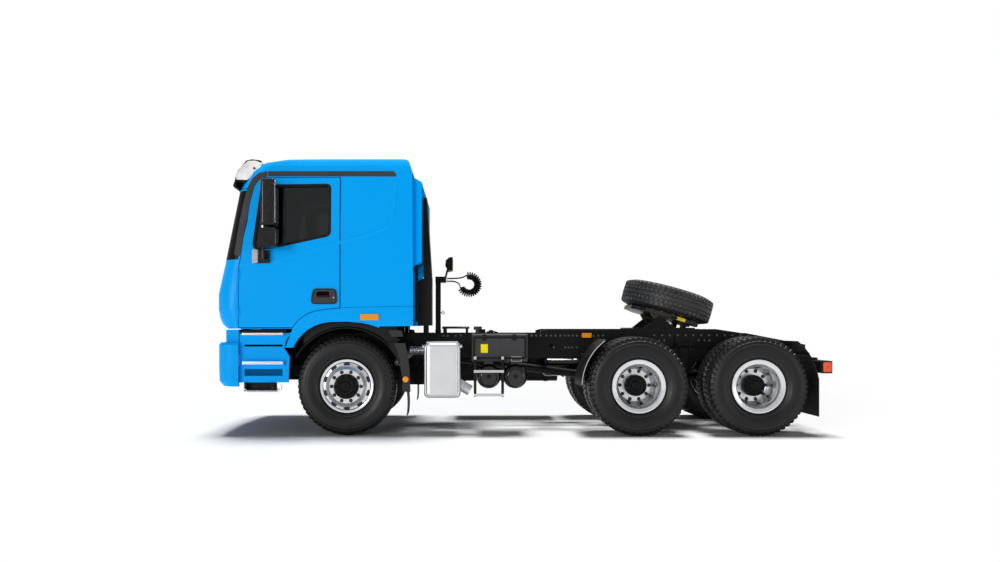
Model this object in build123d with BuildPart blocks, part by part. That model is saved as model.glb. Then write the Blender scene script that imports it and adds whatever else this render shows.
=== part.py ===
"""Cab-over 6x4 tractor unit with a short sleeper cab.

Millimetres. The truck faces -X, its left side is -Y, and +Z is up.  The origin is on the ground, midway
along the truck's length.  Places along the truck are written as distances behind the front axle, negative
ahead of it, and back() turns them into X.
"""
from build123d import *
from math import cos, radians, sin, sqrt
import os

# ---------------------------------------------------------------- driving dimensions
# Running gear
FRONT_OVERHANG = 1526       # front axle to the foremost point of the cab's face
WHEELBASE = 3300            # front axle to first drive axle
BOGIE_SPREAD = 1350         # first drive axle to second
REAR_OVERHANG = 826         # last axle to the tail of the frame
TYRE_RADIUS = 562.5
TYRE_WIDTH = 313
TREAD_WIDTH = 240
BEAD_RADIUS = 254
FLANGE_RADIUS = 302
RIM_WIDTH = 216             # between the flanges
RIM_FLANGE = 12
RIM_OFFSET = 172.5          # rim's middle to its mounting face
DISC_THICKNESS = 12
FRONT_TRACK = 2030
REAR_TRACK = 1860           # between the middles of the twin wheels
FIT = 0.3                   # clearance of a running or seated fit
GAP = 6                     # clearance of a moving piece

# Frame
RAIL_OUTER_Y = 430
RAIL_FLANGE = 80
RAIL_STEEL = 8
RAIL_TOP = 1160
RAIL_BOTTOM = 856
RAIL_FRONT = -1190
RAIL_TAPER = 4750           # where the rails start to slope down to the tail
TAIL_TOP = 1020
TAIL_BOTTOM = 820

# Cab
WALL = 60
CAB_HALF_WIDTH = 1245
FACE_X = -1481              # corner of the cab's face
CAB_REAR = 757
LOWER_BACK = 620            # inner face of the lower rear wall
PANEL_BOTTOM = 1215
GUTTER_Z = 2994
FLOOR_Z = 1290
FLOOR_THICKNESS = 40
DOOR_FRONT = -1210
DOOR_REAR = -58
SCREEN_BOTTOM = 1975
SCREEN_TOP = 2795
SCREEN_HALF_WIDTH = 1060
GLASS = 8
PIVOT_X = -1330
PIVOT_Z = 1120
PIVOT_RADIUS = 20

# Steering
KINGPIN_Y = 835
STEER_ARM = 190

# Fifth wheel
COUPLER_X = 3712
COUPLER_Z = 1316
COUPLER_TILT = 16           # degrees, tail down
COUPLER_TOP = 100           # plate's top above the pivot
SUBFRAME_TOP = 1208

# ---------------------------------------------------------------- derived places
LENGTH = FRONT_OVERHANG + WHEELBASE + BOGIE_SPREAD + REAR_OVERHANG
FRONT_AXLE_X = FRONT_OVERHANG - LENGTH / 2
MID_AXLE = WHEELBASE
REAR_AXLE = WHEELBASE + BOGIE_SPREAD
FRAME_TAIL = REAR_AXLE + REAR_OVERHANG
AXLE_Z = TYRE_RADIUS
FRONT_WHEEL_Y = FRONT_TRACK / 2
REAR_WHEEL_Y = REAR_TRACK / 2
SIDES = {"left": -1, "right": 1}


def back(x):
    """X of a place x behind the front axle."""
    return FRONT_AXLE_X + x


def side_plane(y):
    """Upright plane across the truck at Y y, drawn with X and Z."""
    return Plane.XZ.offset(-y)


def slab(outline, y1, y2, mode=Mode.ADD):
    """A polygon of places (behind the front axle, Z), from Y y1 to Y y2."""
    with BuildSketch(side_plane(y1)) as face:
        with BuildLine():
            Polyline(*[(back(x), z) for x, z in outline], close=True)
        make_face()
    extrude(face.sketch, amount=y1 - y2, mode=mode)


def block(x1, x2, y1, y2, z1, z2, mode=Mode.ADD):
    """A box between two places behind the front axle, two Ys and two Zs."""
    with Locations((back((x1 + x2) / 2), (y1 + y2) / 2, (z1 + z2) / 2)):
        Box(abs(x2 - x1), abs(y2 - y1), abs(z2 - z1), mode=mode)


def bar(start, end, radius, mode=Mode.ADD):
    """A round bar between two points, each (behind the front axle, Y, Z)."""
    first = Vector(back(start[0]), start[1], start[2])
    last = Vector(back(end[0]), end[1], end[2])
    with BuildSketch(Plane(origin=first, z_dir=last - first)) as face:
        Circle(radius)
    extrude(face.sketch, amount=(last - first).length, mode=mode)


def turned(profile, x, z, mode=Mode.ADD):
    """A polygon of (Y, radius), turned about a crosswise axle at a place behind the front axle and Z."""
    with BuildSketch(Plane(origin=(back(x), 0, z), x_dir=(0, 1, 0), z_dir=(1, 0, 0))) as face:
        with BuildLine():
            Polyline(*profile, close=True)
        make_face()
    revolve(face.sketch, axis=Axis((back(x), 0, z), (0, 1, 0)), mode=mode)


def save(builder, label):
    """Write one finished piece under its node's name."""
    builder.part.label = label
    export_step(builder.part, f"parts/{label}.step")


os.makedirs("parts", exist_ok=True)

# ---------------------------------------------------------------- frame
CROSSMEMBERS = [
    # place, half length, bottom, top
    (-1130, 50, 900, 1060),
    (1010, 50, 1020, 1160),
    (1500, 50, 1010, 1150),
    (2350, 50, 1010, 1150),
    (2950, 50, 1010, 1150),
    (MID_AXLE + BOGIE_SPREAD / 2, 110, 930, 1150),
    (5000, 50, 900, 1080),
]
CAB_POST_X = 570
TOWING_PIN_X = FRAME_TAIL - 75
TOWING_PIN_RADIUS = 20

with BuildPart() as frame:
    for side in SIDES.values():
        web = side * RAIL_OUTER_Y
        inner = side * (RAIL_OUTER_Y - RAIL_STEEL)
        edge = side * (RAIL_OUTER_Y - RAIL_FLANGE)
        slab([(RAIL_FRONT, RAIL_BOTTOM), (RAIL_FRONT, RAIL_TOP), (RAIL_TAPER, RAIL_TOP), (FRAME_TAIL, TAIL_TOP),
              (FRAME_TAIL, TAIL_BOTTOM), (RAIL_TAPER, RAIL_BOTTOM)], web, inner)
        for front_z, tail_z, steel in ((RAIL_TOP, TAIL_TOP, -RAIL_STEEL), (RAIL_BOTTOM, TAIL_BOTTOM, RAIL_STEEL)):
            slab([(RAIL_FRONT, front_z), (RAIL_TAPER, front_z), (FRAME_TAIL, tail_z),
                  (FRAME_TAIL, tail_z + steel), (RAIL_TAPER, front_z + steel), (RAIL_FRONT, front_z + steel)],
                 inner, edge)
        # cab pivot bracket and pin, and the post that the cab's rear rests on
        slab([(-1090, 960), (-1090, RAIL_TOP), (-1200, RAIL_TOP), (PIVOT_X - 40, PIVOT_Z + 38),
              (PIVOT_X - 40, PIVOT_Z - 40), (-1200, 960)], web, side * (RAIL_OUTER_Y + 30))
        bar((PIVOT_X, side * (RAIL_OUTER_Y + 30), PIVOT_Z), (PIVOT_X, side * (RAIL_OUTER_Y + 90), PIVOT_Z),
            PIVOT_RADIUS)
        block(CAB_POST_X - 35, CAB_POST_X + 35, edge, web, RAIL_TOP, FLOOR_Z - FIT)
    for place, half, bottom, top in CROSSMEMBERS:
        block(place - half, place + half, RAIL_STEEL - RAIL_OUTER_Y, RAIL_OUTER_Y - RAIL_STEEL, bottom, top)
    # tail crossmember with the towing jaw
    block(FRAME_TAIL - 30, FRAME_TAIL, -RAIL_OUTER_Y, RAIL_OUTER_Y, TAIL_BOTTOM, TAIL_TOP)
    block(FRAME_TAIL - 160, FRAME_TAIL - 30, -110, 110, 850, 1000)
    block(FRAME_TAIL - 110, FRAME_TAIL + 1, -70, 70, 893, 935, mode=Mode.SUBTRACT)
    bar((TOWING_PIN_X, 0, 930), (TOWING_PIN_X, 0, 1001), TOWING_PIN_RADIUS, mode=Mode.SUBTRACT)
    bar((TOWING_PIN_X, 0, 849), (TOWING_PIN_X, 0, 900), TOWING_PIN_RADIUS - 4, mode=Mode.SUBTRACT)
save(frame, "frame")

# ---------------------------------------------------------------- engine and drive line
with BuildPart() as engine:
    block(-750, 550, -330, 330, 640, 1240)
    block(550, 1000, -210, 210, 520, 980)
    bar((1000, 0, 850), (1090, 0, 850), 70)
save(engine, "engine")

NOSE = 345                  # drive axle's middle to its input flange
OUTPUT = 262                # first drive axle's middle to its output flange
NOSE_Z = 625
PROPSHAFTS = [
    # start (place, Z), end (place, Z)
    ((1090 + FIT, 850), (MID_AXLE - NOSE - FIT, NOSE_Z)),
    ((MID_AXLE + OUTPUT + FIT, NOSE_Z), (REAR_AXLE - NOSE - FIT, NOSE_Z)),
]
YOKE = 60
with BuildPart() as propshafts:
    for (x1, z1), (x2, z2) in PROPSHAFTS:
        bar((x1, 0, z1), (x1 + YOKE, 0, z1), 70)
        bar((x1 + YOKE, 0, z1), (x2 - YOKE, 0, z2), 50)
        bar((x2 - YOKE, 0, z2), (x2, 0, z2), 70)
save(propshafts, "propshafts")

DRIVE_TUBE_END = 690
SPINDLE_RADIUS = 50
SPRING_Y = 515
SPRING_WIDTH = 100
SPRING_SEAT_Z = 690
with BuildPart() as drive_axles:
    for place in (MID_AXLE, REAR_AXLE):
        bar((place, -DRIVE_TUBE_END, AXLE_Z), (place, DRIVE_TUBE_END, AXLE_Z), 80)
        bar((place, -880, AXLE_Z), (place, 880, AXLE_Z), SPINDLE_RADIUS)
        turned([(-260, 0), (-260, 80), (-150, 190), (-60, 228), (60, 228), (150, 190), (260, 80), (260, 0)],
               place, AXLE_Z)
        bar((place, 0, NOSE_Z), (place - NOSE, 0, NOSE_Z), 85)
        if place == MID_AXLE:
            bar((place, 0, NOSE_Z), (place + OUTPUT, 0, NOSE_Z), 70)
        for side in SIDES.values():
            block(place - 55, place + 55, side * (SPRING_Y - 45), side * (SPRING_Y + 45), AXLE_Z, SPRING_SEAT_Z)
save(drive_axles, "drive_axles")

EYE_HALF = 52
with BuildPart() as front_axle:
    with BuildSketch(Plane.YZ.offset(back(-45))):
        with BuildLine():
            Polyline((-KINGPIN_Y, AXLE_Z + 45), (-720, AXLE_Z + 45), (-560, 540), (560, 540), (720, AXLE_Z + 45),
                     (KINGPIN_Y, AXLE_Z + 45), (KINGPIN_Y, AXLE_Z - 48), (760, AXLE_Z - 48), (600, 440),
                     (-600, 440), (-760, AXLE_Z - 48), (-KINGPIN_Y, AXLE_Z - 48), close=True)
        make_face()
    extrude(amount=90)
    for side in SIDES.values():
        bar((0, side * KINGPIN_Y, AXLE_Z - EYE_HALF), (0, side * KINGPIN_Y, AXLE_Z + EYE_HALF), 44)
        bar((0, side * KINGPIN_Y, AXLE_Z - EYE_HALF - 1), (0, side * KINGPIN_Y, AXLE_Z + EYE_HALF + 1), 22,
            mode=Mode.SUBTRACT)
        block(-60, 60, side * 370, side * 460, 500, 600)
save(front_axle, "front_axle")

with BuildPart() as leaf_springs:
    for side in SIDES.values():
        # front: hung from the rail, middle on the axle's seat
        with BuildSketch(side_plane(side * 415 + 45)):
            with BuildLine():
                ThreePointArc((back(-750), 770), (back(0), 600 + FIT), (back(750), 770))
                Line((back(750), 770), (back(750), 795))
                ThreePointArc((back(750), 795), (back(0), 690), (back(-750), 795))
                Line((back(-750), 795), (back(-750), 770))
            make_face()
        extrude(amount=90)
        for end in (-750, 750):
            bar((end, side * 370, 782), (end, side * 460, 782), 32)
            block(end - 30, end + 30, side * 385, side * 425, 790, RAIL_BOTTOM - FIT)
        # rear: middle on the bogie's trunnion, ends on the drive axles
        middle = MID_AXLE + BOGIE_SPREAD / 2
        with BuildSketch(side_plane(side * SPRING_Y + SPRING_WIDTH / 2)):
            with BuildLine():
                ThreePointArc((back(MID_AXLE), SPRING_SEAT_Z + FIT), (back(middle), 830),
                              (back(REAR_AXLE), SPRING_SEAT_Z + FIT))
                Line((back(REAR_AXLE), SPRING_SEAT_Z + FIT), (back(REAR_AXLE), SPRING_SEAT_Z + 32))
                ThreePointArc((back(REAR_AXLE), SPRING_SEAT_Z + 32), (back(middle), 985),
                              (back(MID_AXLE), SPRING_SEAT_Z + 32))
                Line((back(MID_AXLE), SPRING_SEAT_Z + 32), (back(MID_AXLE), SPRING_SEAT_Z + FIT))
            make_face()
        extrude(amount=SPRING_WIDTH)
        block(middle - 90, middle + 90, side * (RAIL_OUTER_Y + FIT), side * (SPRING_Y + 60), 720, 860)
        block(middle - 90, middle + 90, side * (RAIL_OUTER_Y + FIT), side * (RAIL_OUTER_Y + 25), 720, 1120)
save(leaf_springs, "leaf_springs")


# ---------------------------------------------------------------- wheels
def tyre_solid(x, y, z):
    """A tyre about a crosswise axle, its beads on the rim's seats."""
    half_tread = TREAD_WIDTH / 2
    half_width = TYRE_WIDTH / 2
    bead = RIM_WIDTH / 2 - FIT
    shoulder = TYRE_RADIUS - 12
    with BuildSketch(Plane(origin=(back(x), y, z), x_dir=(0, 1, 0), z_dir=(1, 0, 0))) as face:
        with BuildLine():
            Polyline((-bead, FLANGE_RADIUS + 6), (-bead, BEAD_RADIUS + FIT), (bead, BEAD_RADIUS + FIT),
                     (bead, FLANGE_RADIUS + 6))
            ThreePointArc((bead, FLANGE_RADIUS + 6), (half_width, 430), (half_tread + 12, shoulder - 18))
            Line((half_tread + 12, shoulder - 18), (half_tread, shoulder))
            ThreePointArc((half_tread, shoulder), (0, TYRE_RADIUS), (-half_tread, shoulder))
            Line((-half_tread, shoulder), (-half_tread - 12, shoulder - 18))
            ThreePointArc((-half_tread - 12, shoulder - 18), (-half_width, 430), (-bead, FLANGE_RADIUS + 6))
        make_face()
    revolve(face.sketch, axis=Axis((back(x), y, z), (0, 1, 0)))


RIM_BARREL = [
    # across from the rim's middle, radius
    (-RIM_WIDTH / 2 - RIM_FLANGE, FLANGE_RADIUS), (-RIM_WIDTH / 2, FLANGE_RADIUS), (-RIM_WIDTH / 2, BEAD_RADIUS),
    (-64, BEAD_RADIUS - 4), (-44, 236), (44, 236), (64, BEAD_RADIUS - 4), (RIM_WIDTH / 2, BEAD_RADIUS),
    (RIM_WIDTH / 2, FLANGE_RADIUS), (RIM_WIDTH / 2 + RIM_FLANGE, FLANGE_RADIUS),
    (RIM_WIDTH / 2 + RIM_FLANGE, 290), (RIM_WIDTH / 2 + 5, 254), (98, 244), (64, 238), (44, 224),
    (-44, 224), (-64, 238), (-98, 244), (-RIM_WIDTH / 2 - 5, 254), (-RIM_WIDTH / 2 - RIM_FLANGE, 290),
]
HUB_BORE = 141
CONE_START = 68
RIM_DISC = [
    # towards the mounting face from the rim's middle, radius
    (CONE_START, 242), (98, 248), (RIM_OFFSET - 20, 208), (RIM_OFFSET, 190), (RIM_OFFSET, HUB_BORE),
    (RIM_OFFSET - DISC_THICKNESS, HUB_BORE), (RIM_OFFSET - DISC_THICKNESS, 186), (RIM_OFFSET - 30, 198),
    (CONE_START, 230),
]
HAND_HOLES = 10
HAND_HOLE_RADIUS = 20
HAND_HOLE_CIRCLE = 224


def rim_solid(x, y, z, facing):
    """A rim about a crosswise axle; facing is the way its mounting face lies from its middle, -1 or 1 in Y."""
    turned([(y + across, radius) for across, radius in RIM_BARREL], x, z)
    turned([(y + facing * across, radius) for across, radius in RIM_DISC], x, z)
    with BuildSketch(side_plane(y + facing * (CONE_START - 2))) as holes:
        with Locations((back(x), z)):
            with PolarLocations(HAND_HOLE_CIRCLE, HAND_HOLES):
                Circle(HAND_HOLE_RADIUS)
    extrude(holes.sketch, amount=-facing * (RIM_OFFSET + 3 - CONE_START), mode=Mode.SUBTRACT)


DRUM_RADIUS = 205
for name, side in SIDES.items():
    y = side * FRONT_WHEEL_Y
    face = y + side * RIM_OFFSET
    with BuildPart() as front_tyre:
        tyre_solid(0, y, AXLE_Z)
    save(front_tyre, f"front_tyre_{name}")
    with BuildPart() as front_rim:
        rim_solid(0, y, AXLE_Z, side)
        disc_back = face - side * DISC_THICKNESS
        turned([(face + side * 58, 0), (face + side * 58, 95), (face + side * 40, 135), (face, 140),
                (disc_back, 140), (disc_back, 186), (disc_back - side * 18, 186), (disc_back - side * 18, 120),
                (side * 1080, 120), (side * 1080, DRUM_RADIUS), (side * 905, DRUM_RADIUS), (side * 905, 0)],
               0, AXLE_Z)
        bar((0, side * 904, AXLE_Z), (0, side * 1140, AXLE_Z), 45 + FIT, mode=Mode.SUBTRACT)
    save(front_rim, f"front_rim_{name}")
    for axle, place in (("mid", MID_AXLE), ("rear", REAR_AXLE)):
        outer = side * (REAR_WHEEL_Y + RIM_OFFSET)
        inner = side * (REAR_WHEEL_Y - RIM_OFFSET)
        with BuildPart() as twin_tyres:
            tyre_solid(place, outer, AXLE_Z)
            tyre_solid(place, inner, AXLE_Z)
        save(twin_tyres, f"{axle}_tyres_{name}")
        with BuildPart() as twin_rims:
            rim_solid(place, outer, AXLE_Z, -side)
            rim_solid(place, inner, AXLE_Z, side)
            disc_back = side * (REAR_WHEEL_Y - DISC_THICKNESS)
            turned([(side * 1075, 0), (side * 1075, 90), (side * 1050, 118), (side * 965, 122),
                    (side * 965, 140), (disc_back, 140), (disc_back, 186), (disc_back - side * 18, 186),
                    (disc_back - side * 18, DRUM_RADIUS), (side * 700, DRUM_RADIUS), (side * 700, 0)],
                   place, AXLE_Z)
            bar((place, side * 699, AXLE_Z), (place, side * 890, AXLE_Z), SPINDLE_RADIUS + FIT, mode=Mode.SUBTRACT)
        save(twin_rims, f"{axle}_rims_{name}")

# ---------------------------------------------------------------- steering
TIE_ROD_Z = AXLE_Z - 112 - 28
PIN_RADIUS = 12             # ball pin that carries the tie rod's end
for name, side in SIDES.items():
    kingpin = side * KINGPIN_Y
    with BuildPart() as knuckle:
        bar((0, kingpin, AXLE_Z - 112), (0, kingpin, AXLE_Z - EYE_HALF - FIT), 46)
        bar((0, kingpin, AXLE_Z + EYE_HALF + FIT), (0, kingpin, AXLE_Z + 112), 46)
        bar((0, kingpin, AXLE_Z - 112), (0, kingpin, AXLE_Z + 112), 22 - FIT)
        block(-60, 60, side * 886, side * 890, AXLE_Z - 112, AXLE_Z + 112)
        block(-46, 46, kingpin, side * 888, AXLE_Z - 112, AXLE_Z - EYE_HALF - FIT)
        block(-46, 46, kingpin, side * 888, AXLE_Z + EYE_HALF + FIT, AXLE_Z + 112)
        bar((0, side * 890, AXLE_Z), (0, side * 898, AXLE_Z), 200)
        bar((0, side * 888, AXLE_Z), (0, side * 1135, AXLE_Z), 45)
        block(0, STEER_ARM, kingpin - 22, kingpin + 22, AXLE_Z - 112, AXLE_Z - 86)
        bar((STEER_ARM, kingpin, AXLE_Z - 112), (STEER_ARM, kingpin, AXLE_Z - 86), 26)
        bar((STEER_ARM, kingpin, TIE_ROD_Z - 20), (STEER_ARM, kingpin, AXLE_Z - 112), PIN_RADIUS)
    save(knuckle, f"knuckle_{name}")

with BuildPart() as tie_rod:
    bar((STEER_ARM, -KINGPIN_Y, TIE_ROD_Z), (STEER_ARM, KINGPIN_Y, TIE_ROD_Z), 18)
    for side in SIDES.values():
        bar((STEER_ARM, side * KINGPIN_Y, TIE_ROD_Z - 22), (STEER_ARM, side * KINGPIN_Y, TIE_ROD_Z + 22), 26)
    for side in SIDES.values():
        bar((STEER_ARM, side * KINGPIN_Y, TIE_ROD_Z - 23), (STEER_ARM, side * KINGPIN_Y, TIE_ROD_Z + 23),
            PIN_RADIUS + FIT, mode=Mode.SUBTRACT)
save(tie_rod, "tie_rod")

# ---------------------------------------------------------------- cab form
CAB_SECTIONS = [
    # Z, face, half width, corner radius, crown of the face, rear
    (900, -1375, 1235, 235, 45, 757),
    (1215, -1375, 1235, 235, 45, 757),
    (1260, -1430, 1243, 240, 45, 757),
    (1330, -1462, 1245, 240, 45, 757),
    (1430, FACE_X, 1245, 240, 45, 757),
    (1610, FACE_X, 1245, 240, 45, 757),
    (1945, -1400, 1245, 215, 45, 755),
    (1990, -1388, 1243, 200, 50, 755),
    (2780, -1225, 1208, 150, 60, 748),
    (2994, -1120, 1196, 190, 60, 740),
    (3060, -1070, 1186, 230, 55, 725),
    (3105, -985, 1164, 240, 50, 708),
    (3138, -830, 1118, 240, 40, 680),
    (3157, -480, 1036, 220, 30, 610),
]


def cab_form(inset, tail=0):
    """The cab's closed outer form, drawn in by inset and lengthened at the rear by tail."""
    with BuildPart() as form:
        for z, face, half_width, corner, crown, rear in CAB_SECTIONS:
            height = z - inset if z > GUTTER_Z else z
            x = back(face + inset)
            y = half_width - inset
            r = corner - inset
            near = r * (1 - cos(radians(45)))
            with BuildSketch(Plane.XY.offset(height)):
                with BuildLine():
                    ThreePointArc((x, y - r), (x - crown, 0), (x, r - y))
                    ThreePointArc((x, r - y), (x + near, near - y), (x + r, -y))
                    Line((x + r, -y), (back(rear + tail) - inset, -y))
                    Line((back(rear + tail) - inset, -y), (back(rear + tail) - inset, y))
                    Line((back(rear + tail) - inset, y), (x + r, y))
                    ThreePointArc((x + r, y), (x + near, y - near), (x, y - r))
                make_face()
        loft(ruled=True)
    return form.part


REAR_REACH = 400
outer_form = cab_form(0)
inner_form = cab_form(WALL, REAR_REACH)
seat_form = cab_form(WALL + FIT, REAR_REACH)
proud_form = cab_form(-FIT)
FAR = 1400
with BuildPart() as shell:
    add(outer_form)
    add(inner_form, mode=Mode.SUBTRACT)
cab_shell = shell.part

ARCH_FRONT = -592
FLARE_FRONT = -678
FLARE_BOTTOM = 1003


FLARE_INNER_Y = 1200


def cab_side_face():
    """Side view of the cab's walls, with the open wheel arch and the flare ahead of it."""
    with BuildSketch(mode=Mode.PRIVATE) as face:
        with BuildLine():
            Polyline((back(340), 1240), (back(900), 1248), (back(900), 3300), (back(-1700), 3300),
                     (back(-1700), PANEL_BOTTOM), (back(-599), PANEL_BOTTOM), (back(FLARE_FRONT), FLARE_BOTTOM),
                     (back(ARCH_FRONT), FLARE_BOTTOM))
            ThreePointArc((back(ARCH_FRONT), FLARE_BOTTOM), (back(-482), 1160), (back(-270), 1275))
            ThreePointArc((back(-270), 1275), (back(0), 1303), (back(230), 1283))
            Line((back(230), 1283), (back(340), 1240))
        make_face()
    add(face.sketch)


def door_face(margin, rear_margin):
    """Side view of a door, drawn in by a margin."""
    with BuildSketch(mode=Mode.PRIVATE) as face:
        with BuildLine():
            Polyline((back(-328), 1413), (back(-193), 1432), (back(DOOR_REAR), 1441), (back(DOOR_REAR), 2925),
                     (back(-952), 2923), (back(-1033), 2845), (back(-1082), 2665), (back(-1150), 2279),
                     (back(-1189), 1987), (back(DOOR_FRONT), 1900), (back(DOOR_FRONT), 1222), (back(-599), 1222))
            ThreePointArc((back(-599), 1222), (back(-481), 1345), (back(-328), 1413))
        make_face()
        if margin:
            offset(amount=-margin, kind=Kind.INTERSECTION)
        with Locations((back(DOOR_REAR - rear_margin + 200), 2000)):
            Rectangle(400, 3000, mode=Mode.SUBTRACT)
    add(face.sketch)


WINDOW = [
    # place, Z
    (-182, 2270), (-813, 2133), (-994, 2110), (-1036, 2150), (-945, 2823), (-182, 2836),
]
WINDOW_CORNER = 38


def window_face(margin=0.0):
    """Side view of a door's window."""
    with BuildSketch(mode=Mode.PRIVATE) as face:
        with BuildLine():
            Polyline(*[(back(x), z) for x, z in WINDOW], close=True)
        make_face()
        fillet(face.vertices(), WINDOW_CORNER)
        if margin:
            offset(amount=-margin)
    add(face.sketch)


DOOR_GAP = 8
DOOR_REAR_GAP = 12
HINGE_X = DOOR_FRONT + 4
HINGE_LEVELS = (1400, 1820)
HINGE_RADIUS = 9
HINGE_Y = CAB_HALF_WIDTH + HINGE_RADIUS + 1


def hinge_barrel(side, z1, z2, leaf):
    """One knuckle of a door hinge on its axis, with a leaf reaching towards the door (1) or the post (-1)."""
    bar((HINGE_X, side * HINGE_Y, z1), (HINGE_X, side * HINGE_Y, z2), HINGE_RADIUS)
    block(HINGE_X, HINGE_X + leaf * 30, side * (CAB_HALF_WIDTH - 4), side * (CAB_HALF_WIDTH + 5), z1, z2)


with BuildPart() as cab_body:
    add(cab_shell)
    with BuildSketch(side_plane(FAR)):
        cab_side_face()
    extrude(amount=2 * FAR, mode=Mode.INTERSECT)
    block(-1700, 1300, -FAR, FAR, GUTTER_Z, 3300, mode=Mode.SUBTRACT)
    slab([(-1700, 900), (DOOR_FRONT, 900), (DOOR_FRONT, SCREEN_BOTTOM), (-1700, SCREEN_BOTTOM)], FAR, -FAR,
         mode=Mode.SUBTRACT)
    with BuildSketch(side_plane(FAR)):
        door_face(0, 0)
    extrude(amount=2 * FAR, mode=Mode.SUBTRACT)
    block(-1700, -1000, -SCREEN_HALF_WIDTH - FIT, SCREEN_HALF_WIDTH + FIT, SCREEN_BOTTOM - 1, SCREEN_TOP + FIT,
          mode=Mode.SUBTRACT)
    # the flare is thinner than the wall, so that it passes outside the step panels
    block(FLARE_FRONT - 10, -599, -FLARE_INNER_Y, FLARE_INNER_Y, FLARE_BOTTOM - 1, PANEL_BOTTOM, mode=Mode.SUBTRACT)
save(cab_body, "cab_body")

GRILLE_HALF_WIDTH = 760
GRILLE_BOTTOM = 1330
GRILLE_TOP = 1720
with BuildPart() as front_panel:
    add(cab_shell)
    slab([(-1700, PANEL_BOTTOM), (DOOR_FRONT - FIT, PANEL_BOTTOM), (DOOR_FRONT - FIT, SCREEN_BOTTOM - FIT),
          (-1700, SCREEN_BOTTOM - FIT)], FAR, -FAR, mode=Mode.INTERSECT)
    block(-1700, -1300, -GRILLE_HALF_WIDTH, GRILLE_HALF_WIDTH, GRILLE_BOTTOM, GRILLE_TOP, mode=Mode.SUBTRACT)
    for side in SIDES.values():
        for level in HINGE_LEVELS:
            hinge_barrel(side, level + 31, level + 56, -1)
            hinge_barrel(side, level - 56, level - 31, -1)
save(front_panel, "front_panel")

GRILLE_BARS = 5
with BuildPart() as grille:
    add(cab_form(8))
    add(cab_form(40), mode=Mode.SUBTRACT)
    with BuildSketch(Plane.YZ.offset(back(-1700))):
        with Locations((0, (GRILLE_BOTTOM + GRILLE_TOP) / 2)):
            Rectangle(2 * GRILLE_HALF_WIDTH - 2 * FIT, GRILLE_TOP - GRILLE_BOTTOM - 2 * FIT)
            with GridLocations(GRILLE_HALF_WIDTH, (GRILLE_TOP - GRILLE_BOTTOM) / GRILLE_BARS, 2, GRILLE_BARS):
                Rectangle(GRILLE_HALF_WIDTH - 24, (GRILLE_TOP - GRILLE_BOTTOM) / GRILLE_BARS - 34,
                          mode=Mode.SUBTRACT)
    extrude(amount=400, mode=Mode.INTERSECT)
save(grille, "grille")

with BuildPart() as windscreen:
    add(cab_form(14))
    add(cab_form(14 + GLASS), mode=Mode.SUBTRACT)
    block(-1700, -1000, -SCREEN_HALF_WIDTH, SCREEN_HALF_WIDTH, SCREEN_BOTTOM, SCREEN_TOP, mode=Mode.INTERSECT)
save(windscreen, "windscreen")

with BuildPart() as cab_roof:
    add(cab_shell)
    block(-1700, 1300, -FAR, FAR, GUTTER_Z + FIT, 3300, mode=Mode.INTERSECT)
save(cab_roof, "cab_roof")

BULGE_REAR = 850
with BuildPart() as cab_back:
    slab([(LOWER_BACK, 1250), (LOWER_BACK, 1905), (BULGE_REAR - WALL, 2010), (BULGE_REAR - WALL, 2850),
          (690 - WALL, 2950), (640 - WALL, 3300), (640, 3300), (690, 2968), (BULGE_REAR, 2880),
          (BULGE_REAR, 1972), (LOWER_BACK + WALL, 1880), (LOWER_BACK + WALL, 1250)], FAR, -FAR)
    for side in SIDES.values():
        slab([(LOWER_BACK + 10, 1850), (LOWER_BACK + WALL, 1880), (BULGE_REAR, 1972), (BULGE_REAR, 2880), (690, 2968),
              (640, 2968), (BULGE_REAR - 120, 2850), (BULGE_REAR - 120, 2010)], side * 1110, side * FAR)
    add(seat_form, mode=Mode.INTERSECT)
save(cab_back, "cab_back")

TUNNEL_HALF_WIDTH = 420
TUNNEL_TOP = 1500
TUNNEL_FRONT = -900
EAR_Y = RAIL_OUTER_Y + 30 + GAP
with BuildPart() as cab_floor:
    add(seat_form)
    block(-1600, LOWER_BACK - FIT, -FAR, FAR, FLOOR_Z, FLOOR_Z + FLOOR_THICKNESS, mode=Mode.INTERSECT)
    floor_top = FLOOR_Z + FLOOR_THICKNESS
    block(TUNNEL_FRONT, LOWER_BACK - FIT, -TUNNEL_HALF_WIDTH, TUNNEL_HALF_WIDTH, floor_top, TUNNEL_TOP)
    block(TUNNEL_FRONT + 30, CAB_POST_X - 70, 30 - TUNNEL_HALF_WIDTH, TUNNEL_HALF_WIDTH - 30, FLOOR_Z - 1,
          TUNNEL_TOP - 30, mode=Mode.SUBTRACT)
    for side in SIDES.values():
        slab([(PIVOT_X - 38, PIVOT_Z - 38), (PIVOT_X + 38, PIVOT_Z - 38), (PIVOT_X + 120, FLOOR_Z + 10),
              (PIVOT_X - 8, FLOOR_Z + 10), (PIVOT_X - 8, PIVOT_Z + 62), (PIVOT_X - 38, PIVOT_Z + 30)],
             side * EAR_Y, side * (EAR_Y + 34))
        bar((PIVOT_X, side * (EAR_Y - 5), PIVOT_Z), (PIVOT_X, side * (EAR_Y + 60), PIVOT_Z), PIVOT_RADIUS + FIT,
            mode=Mode.SUBTRACT)
save(cab_floor, "cab_floor")

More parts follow.
